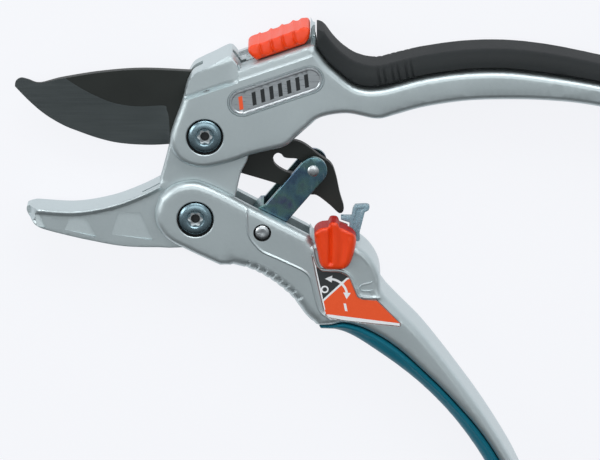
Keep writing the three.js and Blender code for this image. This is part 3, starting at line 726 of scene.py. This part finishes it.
def grip_face(p, d, z):
    foot = gap(p, grip_foot, False)
    crown = gap(p, grip_crown, False)
    t = np.clip(1 - crown / 5.2, 0, 1)
    z = np.minimum(z, grip_half - 4.4 * (1 - np.sqrt(1 - t * t)))
    z = z - 1.3 * ease(0.9, 0.25, foot) + 0.15
    for rib in rib_lines:
        z = z - 0.5 * ease(0.5, 0.05, gap(p, rib, False))
    return z


grip_crown = line([(155.8, 11.4), (154.4, 15.2), (147.0, 17.6), (134.0, 20.8), (120.0, 24.1), (107.2, 26.6),
                   (94.4, 27.9), (81.6, 27.6), (68.8, 25.8), (60.2, 23.8), (54.4, 22.4), (49.0, 23.2),
                   (44.6, 25.6), (40.6, 29.4), (37.6, 33.4), (35.3, 34.4)])
upper_grip = relief(
    "upper_grip_rubber", grip_outline, grip_half, 0.6, grip_face, grid=1.6, steps=3,
    lines=[(rib, (-0.5, -0.25, 0.0, 0.25, 0.5)) for rib in rib_lines]
    + [(grip_crown, (0.3, 0.8, 1.4, 2.1, 3.0, 4.0, 5.2)), (grip_foot, (0.3, 0.6, 0.95))])
rubber = Finish("black_soft_rubber", 0.0, Specular_IOR_Level=0.22)
pore, smear = rubber.noise(4200, 3), rubber.noise(55, 4)
upper_grip.data.materials.append(rubber.set(
    rubber.blend(smear, rgb(28, 31, 32), rgb(38, 42, 43)),
    rubber.spread(smear * 0.6 + pore * 0.4, 0.3, 0.7, 0.58, 0.74), pore, 0.00003))
even(upper_grip, 50)
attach(upper_grip, "upper_body")
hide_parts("upper_grip")

# ---- Lower handle ----
# The other aluminium casting, hollow at the head to take the link, with a raised line round
# the rivet panel, a round lobe that the selector rides on, and a finger rest under it.
lobe_centre = (40.0, -50.3)
lobe_r = 16.0


def lobe_at(degrees):
    a = math.radians(degrees)
    return (lobe_centre[0] + lobe_r * math.cos(a), lobe_centre[1] + lobe_r * math.sin(a))


seam = [
    (36.2, -63.2), (40.0, -63.1), (44.0, -62.4), (49.6, -63.8), (56.0, -67.1), (62.4, -71.8),
    (68.8, -77.9), (75.2, -84.3), (81.6, -91.4), (88.0, -99.3), (94.0, -108.6), (98.6, -118.0),
    (100.8, -126.4), (101.2, -131.0)]
rest_edge = [(34.4, -62.4), (31.7, -59.9), (27.2, -53.8), (20.8, -48.3), (14.4, -44.7), (8.6, -43.0)]
lower_line = outline([
    [(-14.4, -20.0), (-11.2, -17.0), (-8.0, -15.5), (-4.8, -15.0), (-1.6, -15.3), (4.8, -18.0),
     (14.4, -23.3), (25.0, -28.8), (32.9, -33.0)],
    [lobe_at(111)],
    [lobe_at(a) for a in (97, 83, 69, 55, 41, 27, 13, -3)],
    [(57.8, -53.8)],
    [(62.4, -58.7), (68.8, -65.4), (75.2, -73.5), (81.6, -82.2), (88.0, -91.3), (94.4, -101.4),
     (100.2, -111.8), (104.2, -121.6), (105.4, -129.0)],
    [(104.6, -131.6), (103.0, -132.2), seam[-1]],
    list(reversed(seam))[1:],
    [*rest_edge, (4.5, -42.9)],
    [(-1.6, -40.0), (-7.7, -36.9), (-12.2, -34.2), (-15.4, -29.8), (-16.0, -25.0)]])
panel_line = line([
    (13.1, -21.5), (13.1, -25.7), (13.3, -29.8), (14.1, -33.1), (16.0, -35.8), (18.2, -37.9),
    (22.4, -39.9), (27.2, -42.2), (31.2, -44.3), (33.0, -46.2), (33.9, -49.0), (35.5, -55.5),
    (36.8, -58.4), (39.6, -60.6)])
label_line = outline([
    [(33.6, -38.6)], [(34.4, -39.8)], [(35.4, -42.6), (37.2, -44.3)], [(42.6, -44.6)],
    [(45.6, -46.4), (47.4, -50.4), (48.4, -53.0)], [(50.0, -53.9)], [(54.6, -54.2)], [(62.2, -62.0)],
    [(62.0, -63.2)], [(43.6, -61.2)], [(40.0, -60.4)], [(37.6, -57.6)]])
sweep = outline([
    [(34.0, -33.0)], [(34.5, -38.0), (34.9, -41.0), (36.0, -43.2), (37.6, -44.0)],
    [(42.6, -44.2), (45.8, -46.0), (47.7, -50.4), (48.6, -52.6), (50.2, -53.3)],
    [(55.4, -53.4)], [(60, -53.4)], [(62, -30)], [(40, -28)]])
sweep_edge = line([(33.9, -36.4), (34.9, -41.0), (36.0, -43.2), (37.6, -44.0), (42.6, -44.2), (45.8, -46.0),
                   (47.7, -50.4), (48.6, -52.6), (50.2, -53.3), (55.4, -53.4)])
rest_path = line(rest_edge)
rest_ribs = []
for t in np.linspace(0.30, 0.86, 8):
    k = int(t * (len(rest_path) - 1))
    out = sideways(rest_path, False)[k]
    rest_ribs.append(line([rest_path[k] + out * 3.6, rest_path[k] - out * 3.6], 0.5))
lock_mark = line([
    (52.4, -48.5), (51.0, -48.8), (49.7, -49.2), (49.2, -49.8), (49.2, -50.5), (49.7, -51.0),
    (50.8, -51.2), (52.2, -51.2)], 0.25)


def lower_face(p, d, z):
    x, y = p.T
    t = np.clip(1 - gap(p, rest_path, False) / 3.8, 0, 1)
    z = np.minimum(z, handle_half - 3.6 * (1 - np.sqrt(1 - t * t)))
    for rib in rest_ribs:
        z = z - 0.7 * ease(0.8, 0.2, gap(p, rib, False)) * ease(3.6, 2.6, gap(p, rest_path, False))
    r = np.hypot(x - lobe_centre[0], y - lobe_centre[1])
    sunk = 0.35 * inside(p, sweep) * ease(0.1, 0.7, gap(p, sweep_edge, False))
    z = z - sunk * ease(lobe_r - 1.4, lobe_r - 2.2, r)
    z = z + 0.22 * ease(0.55, 0.1, gap(p, sweep_edge, False))
    return z + 0.36 * ease(0.48, 0.12, gap(p, panel_line, False)) * ease(0.2, 2.0, d)


def lower_front(p, d, z):
    z = lower_face(p, d, z) + 0.28 * ease(0.34, 0.14, gap(p, lock_mark, False))
    off = gap(p, label_line) * np.where(inside(p, label_line), -1, 1)
    return z - 0.5 * ease(0.08, -0.08, off)


lower = relief(
    "lower_handle_casting", lower_line, handle_half, 2.4, lower_front, lower_face, grid=2.0, steps=6,
    lines=[(panel_line, (-0.5, -0.3, 0.0, 0.3, 0.5)), (sweep_edge, (-0.8, -0.5, -0.2, 0.0, 0.2, 0.5, 0.8)),
           (lock_mark, (-0.35, -0.15, 0.15, 0.35)), (np.vstack([label_line, label_line[:1]]), (-0.12, 0.12)),
           (rest_path, (1.0, 1.8, 2.6, 3.2, 3.9, -1.0, -1.8, -2.6, -3.2, -3.9)),
           (line([lobe_at(a) for a in range(110, -5, -5)]), (1.3, 1.8, 2.3, -1.3, -1.8, -2.3))]
    + [(rib, (-0.7, -0.35, 0.0, 0.35, 0.7)) for rib in rest_ribs])
carve(
    lower,
    slab(outline([
        [(-30, -50)], [(-7.0, -50)], [(-1.6, -40.4)], [(3.2, -38.2), (8.2, -37.4)],
        [(15.0, -39.0)], [(27.0, -40.6)], [(33.0, -40.0)], [(33.2, -20)], [(20, 0)], [(-30, 0)]], 3),
        -wall_inner, wall_inner),
    slab([(-20, -10), (-8, -17.0), (-1.6, -16.9), (4.8, -19.6), (14.4, -24.9), (25.0, -30.4),
          (33.2, -34.8), (34, -25), (34, -8), (-20, -8)], -12, -2))
screw_at = ((pivot["handle_squeeze"].x - zero.x) * 1000, (pivot["handle_squeeze"].y - zero.y) * 1000)
rivet_at = ((pivot["link_pivot"].x - zero.x) * 1000, (pivot["link_pivot"].y - zero.y) * 1000)
rivet_bed = [(0, 12), (2.85, 12), (2.85, 8.4), (0, 8.4)]
lower.data.materials.append(cast_finish)
lower.data.materials.append(recess_shade_finish)
carve(lower, *both_sides(screw_at, bolt_bed))
# The screw well, its bore and the rivet bed and bore take the painted shade finish.
carve(
    lower, *both_sides(screw_at, bolt_well), slab(ring(screw_at, 3.3), -12, 12),
    *both_sides(rivet_at, rivet_bed), slab(ring(rivet_at, 2.7), -12, 12), slot=1)
even(lower)
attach(lower, "lower_body")
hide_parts("lower_handle")

# ---- Label ----
# Printed film laid in a bed in the lower handle: black for off and orange for on, with a
# double arrow for the way the selector turns, and a white border.
ahead = np.roll(label_line, -1, 0)
winding = np.sign(np.sum(label_line[:, 0] * ahead[:, 1] - label_line[:, 1] * ahead[:, 0]))
film_line = label_line + sideways(label_line) * 0.25 * winding
arc_angles = [math.radians(a) for a in range(86, 9, -4)]
arc = line([(39.4 + 5.6 * math.cos(a), -52.7 + 5.6 * math.sin(a)) for a in arc_angles])
arc_side = sideways(arc, False) * 0.38
arc_mark = np.vstack([arc + arc_side, (arc - arc_side)[::-1]])
heads = [np.array([(38.0, -47.0), (40.3, -45.9), (40.1, -48.3)]),
         np.array([(44.9, -53.9), (43.8, -51.6), (46.2, -51.8)])]
off_ring = ring((37.9, -50.6), 1.25, 24)
off_hole = ring((37.9, -50.6), 0.75, 20)
on_bar = np.array([(44.4, -57.9), (45.2, -58.0), (44.7, -55.4), (43.9, -55.3)])
split = np.array([(30.0, -61.5), (49.0, -43.1)])
black_side = np.array([(30.0, -61.5), (49.0, -43.1), (30, -36)])
foot_strip = np.array([(36.0, -58.9), (40.2, -59.2), (63.4, -62.3), (63, -66), (36, -64)])
left_edge = np.array([(33.6, -38.6), (37.6, -57.6)])


def label_zones(m):
    which = np.where(inside(m, black_side), 1, 0)
    which[gap(m, split, False) < 0.32] = 2
    which[inside(m, foot_strip) | (gap(m, left_edge, False) < 0.55)] = 2
    for mark in (arc_mark, *heads, off_ring, on_bar):
        which[inside(m, mark)] = 2
    which[inside(m, off_hole)] = 1
    return which, np.zeros(len(m))


film = relief(
    "label_film", film_line, 9.32, 0.0,
    lambda p, d, z: np.full(len(p), 9.32), lambda p, d, z: np.full(len(p), -9.06),
    grid=0.9, marks=[arc_mark, *heads, off_ring, off_hole, on_bar],
    lines=[(line(split), (-0.32, 0.32)), (line([(36.0, -58.9), (40.2, -59.2), (63.4, -62.3)]), (0.0,)),
           (line(left_edge), (0.54, 0.56))],
    zones=label_zones)
label_inks = {
    "orange": (rgb(231, 76, 26), rgb(240, 92, 38)),
    "black": (rgb(38, 43, 44), rgb(47, 52, 53)),
    "white": (rgb(226, 230, 232), rgb(240, 243, 244))}
for name, (dark, pale) in label_inks.items():
    ink = Finish("label_film_" + name, 0.0, Coat_Roughness=0.25)
    mottle = ink.noise(1900, 3)
    film.data.materials.append(ink.set(
        ink.blend(mottle, dark, pale), ink.spread(mottle, 0.3, 0.7, 0.34, 0.46), mottle,
        0.000004, Coat_Weight=0.25))
even(film)
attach(film, "lower_body")
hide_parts("label_plate")

# ---- Lower grip ----
# Teal hard plastic shell snapped along the finger side of the lower arm, with a thin raised
# bead beside the seam.
shell_half = 9.2
shell_under = [
    (101.0, -134.4), (99.2, -134.6), (97.4, -129.6), (95.0, -121.6), (91.0, -112.6),
    (85.4, -103.4), (78.4, -94.0), (70.4, -85.4), (62.4, -78.4), (52.8, -71.3),
    (46.4, -67.2), (41.6, -65.4), (37.2, -65.0)]
seam_low = [(x, y - 0.35) for x, y in seam]
shell_line = outline([seam_low, shell_under, []])
seam_path, under_path = line(seam_low), line(shell_under)


def shell_face(p, d, z):
    from_seam = gap(p, seam_path, False)
    t = np.clip(1 - gap(p, under_path, False) / 4.5, 0, 1)
    z = np.minimum(z, shell_half - 4.0 * (1 - np.sqrt(1 - t * t)))
    return z - 0.9 * ease(0.55, 0.1, from_seam) - 0.35 * ease(1.25, 1.6, from_seam)


shell = relief(
    "lower_grip_shell", shell_line, shell_half, 0.5, shell_face, grid=1.5, steps=3,
    lines=[(seam_path, (-0.25, -0.55, -0.9, -1.25, -1.6)),
           (under_path, (-0.3, -0.8, -1.4, -2.1, -3.0, -4.4))])
teal = Finish("teal_plastic", 0.0, Specular_IOR_Level=0.5)
mist, pit = teal.noise(60, 4), teal.noise(3800, 2)
shell.data.materials.append(teal.set(
    teal.blend(mist, rgb(0, 88, 108), rgb(4, 110, 130)),
    teal.spread(mist * 0.5 + pit * 0.5, 0.3, 0.7, 0.34, 0.48), pit, 0.00001))
even(shell, 50)
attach(shell, "lower_body")
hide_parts("lower_grip")

# ---- Ratchet link ----
# Folded steel strap, blue zinc plated, in the channel of the lower handle. Its pin steps up
# the window in the blade tail, and a small spring at its rivet keeps it pressed forward.
pin_at = (34.2, -12.2)
link_half = 5.7
link_turn = math.atan2(pin_at[1] - rivet_at[1], pin_at[0] - rivet_at[0])
link_length = math.hypot(pin_at[0] - rivet_at[0], pin_at[1] - rivet_at[1])


def on_link(a, p):
    return (rivet_at[0] + a * math.cos(link_turn) - p * math.sin(link_turn),
            rivet_at[1] + a * math.sin(link_turn) + p * math.cos(link_turn))


def link_end(a, start, r=4.4, n=14):
    turns = [math.radians(start + 180 * k / n) for k in range(n + 1)]
    return [on_link(a + r * math.cos(t), r * math.sin(t)) for t in turns]


jog = [on_link(*c) for c in ((6.6, 4.4), (6.2, 4.8), (5.6, 5.4), (1.2, 5.4), (0.6, 4.8), (0.2, 4.4))]
strap_line = fine(link_end(link_length, -90) + jog + link_end(0, 90))
strap = relief("ratchet_link_strap", strap_line, link_half, 0.30, grid=2.0, steps=3)
carve(
    strap,
    slab([on_link(*c) for c in (
        (-6, -7), (30, -7), (30, 7), (6.3, 7), (6.3, 4.1), (0.5, 4.1), (0.5, 7), (-6, 7))],
         -link_half + 1.5, link_half - 1.5),
    slab(ring(rivet_at, 2.65, 32), -12, 12), slab(ring(pin_at, 1.65, 24), -12, 12))
zinc = Finish("blue_zinc_plate", 1.0)
rainbow, scuff, seed = zinc.noise(130, 4), zinc.noise(700, 4, (1, 0.3, 1)), zinc.noise(2400, 2)
film_stops = [(0.34, (0.085, 0.15, 0.23)), (0.47, (0.12, 0.23, 0.28)),
              (0.56, (0.14, 0.26, 0.25)), (0.68, (0.12, 0.15, 0.25))]
film_colour = zinc.add("ValToRGB", {"stops": film_stops}, {0: rainbow})
strap.data.materials.append(zinc.set(
    zinc.blend(zinc.spread(scuff, 0.62, 0.8), film_colour, (0.34, 0.42, 0.46)),
    zinc.spread(scuff * 0.6 + seed * 0.4, 0.3, 0.7, 0.20, 0.36), seed, 0.000008))
even(strap)
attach(strap, "link_body")
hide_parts("ratchet_link")

bright = Finish("bright_steel", 1.0)
turning, dull = bright.noise(900, 4), bright.noise(160, 3)
bright_finish = bright.set(
    bright.blend(dull, (0.50, 0.54, 0.56), (0.70, 0.74, 0.75)), bright.spread(turning, 0.3, 0.7, 0.20, 0.38),
    turning, 0.000015)
pin = turned("ratchet_pin_riveted", pin_at, [
    (0, -6.22), (0.9, -6.2), (1.5, -6.08), (1.8, -5.9), (1.8, -5.74), (1.3, -5.74), (1.3, 5.74), (1.8, 5.74),
    (1.8, 5.9), (1.5, 6.08), (0.9, 6.2), (0, 6.22)], 40)
pin.data.materials.append(bright_finish)
even(pin, 40)
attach(pin, "link_body")
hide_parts("ratchet_pin")
rivet = turned("link_rivet_headed", rivet_at, [
    (0, -9.35), (1.2, -9.42), (2.0, -9.3), (2.4, -8.9), (2.4, -8.5), (2.35, -8.3), (2.35, 8.3), (2.4, 8.5),
    (2.4, 8.9), (2.0, 9.3), (1.2, 9.42), (0.5, 9.3), (0, 9.28)], 48)
rivet_scar = [(-1.7, -0.35), (0.4, -0.05), (0.5, 0.35), (-1.5, 0.15)]
carve(rivet, slab([(rivet_at[0] + x, rivet_at[1] + y) for x, y in rivet_scar], 9.24, 10))
rivet.data.materials.append(bright_finish)
even(rivet, 40)
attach(rivet, "lower_body")
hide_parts("link_pivot_rivet")

# ---- Pivot bolts ----
# Each pivot is a zinc plated screw with a six lobed socket, turned into a hexagon nut at the
# back, on a bronze bush. Thin steel washers keep the blade off the cheeks of the frame.
plated = Finish("plated_screw_steel", 1.0)
lathe, sheen = plated.noise(1500, 3), plated.noise(200, 3)
plated_finish = plated.set(
    plated.blend(sheen, (0.15, 0.24, 0.28), (0.34, 0.46, 0.51)), plated.spread(lathe, 0.3, 0.7, 0.18, 0.32),
    lathe, 0.000008)
for name, centre in (("blade_pivot", (0.0, 0.0)), ("handle_pivot", screw_at)):
    screw = turned(name + "_screw_headed", centre, [
        (0, -9.0), (2.7, -9.0), (3.0, -8.7), (3.0, 7.7), (5.3, 7.7), (5.42, 7.85), (5.42, 8.35), (5.25, 8.75),
        (4.85, 9.05), (4.2, 9.28), (3.2, 9.38), (2.95, 9.36), (2.62, 9.05), (0, 9.05)], 72)
    star = np.array([
        (centre[0] + r * math.cos(a), centre[1] + r * math.sin(a))
        for a in np.linspace(0, 2 * math.pi, 72, False) for r in [2.12 + 0.30 * math.cos(6 * a)]])
    screw.data.materials.append(plated_finish)
    screw.data.materials.append(bright_finish)
    screw.data.materials.append(recess_shade_finish)
    carve(screw, slab(star, 8.2, 12), slot=1)
    # The deep middle of the socket takes the painted shade finish.
    carve(screw, slab(ring(centre, 1.45, 32), 7.2, 12), slot=2)
    even(screw, 28)
    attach(screw, "upper_body")
    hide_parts(name + "_screw")
bronze = Finish("sintered_bronze", 1.0)
pores = bronze.noise(2600, 3)
bronze_finish = bronze.set(
    bronze.blend(pores, (0.36, 0.27, 0.12), (0.50, 0.38, 0.19)),
    bronze.spread(pores, 0.3, 0.7, 0.32, 0.5), pores, 0.00002)


def dress(node, finish, soften=0.15):
    """Gives a piece kept from the frame its finish and breaks its sharp edges."""
    piece = frame["nodes"][node]
    piece.data.materials.clear()
    piece.data.materials.append(finish)
    even(piece, 35)
    piece.modifiers.clear()
    if soften:
        edges = piece.modifiers.new("broken_edges", "BEVEL")
        edges.width, edges.segments, edges.limit_method = soften / 1000, 2, "ANGLE"
        edges.angle_limit = math.radians(40)
    piece.modifiers.new("even_shading", "WEIGHTED_NORMAL").keep_sharp = True


for node in ("blade_pivot_nut", "handle_pivot_nut"):
    dress(node, plated_finish, 0.3)
for node in ("blade_pivot_bush", "handle_pivot_bush"):
    dress(node, bronze_finish)
for node in ("blade_washer_front", "blade_washer_back", "frame_pin"):
    dress(node, bright_finish, 0.08)
for node in ("link_spring", "handle_spring"):
    dress(node, bright_finish, 0)

# ---- Blade lock ----
# Orange plastic thumb slider with ribs over its back. It slides down the ledge and carries a
# stamped steel bar, whose foot drops in front of the lug on the blade.


def ledge(x, up):
    return 22.2 + (x - 11.5) * math.tan(slope) + up


crests = [(17.3, 30.0), (20.9, 31.35), (24.4, 32.7), (27.9, 34.0)]
back_line = [(31.6, 34.9), (30.4, 34.75), (29.4, 34.0)]
for x, y in reversed(crests):
    back_line += [(x + 0.55, y - 0.05), (x, y), (x - 0.6, y - 0.35), (x - 1.5, y - 0.95)]
slider_line = outline([
    [(16.4, ledge(16.4, 0.45))], [(31.6, ledge(31.6, 0.45))],
    [(32.7, 31.2), (33.2, 33.4), (32.6, 34.8), (31.6, 34.9)],
    back_line[1:-1], [(14.6, 28.9), (13.7, 27.6), (14.5, 25.9)]], 0.4)
slider_ribs = [line([(x - 0.2, y + 0.3), (x + 0.35, y - 2.4), (x + 1.9, y - 5.2)], 0.4) for x, y in crests]


def slider_face(p, d, z):
    top = p[:, 1] - 22.2 - (p[:, 0] - 11.5) * math.tan(slope)
    t = np.clip((top - 2.2) / 6.2, 0, 1)
    z = np.minimum(z, 7.0 - 2.4 * t * t)
    for rib in slider_ribs:
        near = gap(p, rib, False)
        z = z + 0.85 * np.exp(-(near / 0.38) ** 2) * ease(0.8, 2.4, top)
    return z


slider = relief(
    "lock_slider_ribbed", slider_line, 7.0, 1.3, slider_face, grid=1.2, steps=5,
    lines=[(rib, (-0.9, -0.6, -0.4, -0.2, 0.0, 0.2, 0.4, 0.6, 0.9)) for rib in slider_ribs])
carve(slider, slab([(10, 20), (30.8, 27.2), (30.8, ledge(30.8, 2.4)), (16.9, ledge(16.9, 2.4)),
                    (16.9, ledge(16.9, 4.2)), (10, ledge(10, 4.2))], -1.5, 1.5))
orange = Finish("orange_plastic", 0.0, Specular_IOR_Level=0.5, Subsurface_Weight=0.06, Subsurface_Scale=0.002)
veil, orange_pit = orange.noise(90, 3), orange.noise(3000, 2)
orange_finish = orange.set(
    orange.blend(veil, rgb(224, 54, 0), rgb(234, 70, 8)),
    orange.spread(veil * 0.5 + orange_pit * 0.5, 0.3, 0.7, 0.30, 0.46), orange_pit, 0.000012)
slider.data.materials.append(orange_finish)
even(slider, 45)
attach(slider, "lock_body")
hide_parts("lock_slider")
dress("lock_bar", bright_finish, 0.2)

# ---- Ratchet selector ----
# Orange plastic thumb piece, fluted, that hooks over the front of the lobe. A clear grey
# catch post is pushed into a notch in its back edge and sticks up beside it.
knob_line = outline([
    [(34.6, -33.4), (34.6, -31.2), (35.6, -29.9), (37.0, -29.2)],
    [(38.9, -29.0)], [(39.5, -27.7), (40.2, -27.4), (41.5, -27.5), (42.1, -28.0)], [(42.6, -29.2)],
    [(46.4, -30.9), (47.8, -33.2), (47.2, -37.6), (45.8, -41.6), (44.0, -43.3)],
    [(40.6, -43.5), (38.0, -43.2), (36.4, -41.6), (35.5, -37.4)]], 0.5)
flutes = [(line([(39.5, -28.2), (39.7, -33.0), (39.6, -40.8)], 0.5), 0.95, 0.60),
          (line([(43.3, -30.0), (43.5, -35.0), (42.9, -41.4)], 0.5), 0.55, 1.3)]


def knob_face(p, d, z):
    x, y = p.T
    t = np.clip(1 - d / 0.8, 0, 1)
    z = z + ease(-33.0, -31.0, y) * (11.7 + 0.8 * np.sqrt(1 - t * t) - z)
    for path, depth, width in flutes:
        z = z - depth * np.exp(-(gap(p, path, False) / width) ** 2)
    return z


# The front face takes the orange; the rim, sides and back take a darker red copy of it, which is painted
# shade.
knob = relief(
    "selector_thumb_saddle", knob_line, 12.5, 2.2, knob_face,
    lambda p, d, z: np.full(len(p), -4.4), grid=1.1, steps=6,
    zones=lambda m: [np.ones(len(m)), np.zeros(len(m))],
    lines=[(path, [k * width * 0.35 for k in range(-6, 7)]) for path, depth, width in flutes])
# Darker red copy of the orange plastic: painted shade for the rim, sides and back of the thumb piece.
shade = Finish("orange_plastic_painted_shade", 0.0, Specular_IOR_Level=0.4)
tint, pit_shade = shade.noise(90, 3), shade.noise(3000, 2)
knob.data.materials.append(shade.set(
    shade.blend(tint, rgb(165, 8, 2), rgb(190, 18, 4)),
    shade.spread(tint, 0.3, 0.7, 0.42, 0.55), pit_shade, 0.000012))
knob.data.materials.append(orange_finish)
carve(
    knob, slab(ring(lobe_centre, lobe_r + 0.5, 120), -10, 10),
    slab([(45.2, -45), (60, -45), (60, -20), (45.2, -20)], 0, 6.4))
even(knob, 45)
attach(knob, "selector_body")
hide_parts("selector_lever")

catch_line = outline([
    [(45.6, -34.6)], [(45.75, -29.4)], [(43.0, -28.4)], [(43.0, -27.2)], [(46.4, -27.2)],
    [(46.8, -24.9), (47.5, -23.6)],
    [(51.0, -23.4), (52.1, -24.0), (51.8, -25.3)], [(50.6, -26.0)], [(49.0, -32.6)], [(48.8, -35.6)]], 0.5)
catch = relief(
    "selector_catch_post", catch_line, 6.0, 0.4, lambda p, d, z: z - 0.4 * ease(0.9, 1.4, d),
    lambda p, d, z: z - 9.5, grid=1.0, steps=3,
    lines=[(np.vstack([catch_line, catch_line[:1]]), (0.9, 1.15, 1.4, -0.9, -1.15, -1.4))])
carve(catch, slab(ring(lobe_centre, lobe_r + 0.5, 120), -12, 12))
clear = Finish("clear_grey_plastic", 0.0, IOR=1.45, Transmission_Weight=0.35)
cloudy, flow = clear.noise(260, 3), clear.noise(1200, 3)
catch.data.materials.append(clear.set(
    clear.blend(cloudy, rgb(134, 164, 177), rgb(150, 177, 188)),
    clear.spread(flow, 0.3, 0.7, 0.18, 0.34), flow, 0.000005))
even(catch)
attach(catch, "selector_body")
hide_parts("selector_catch")
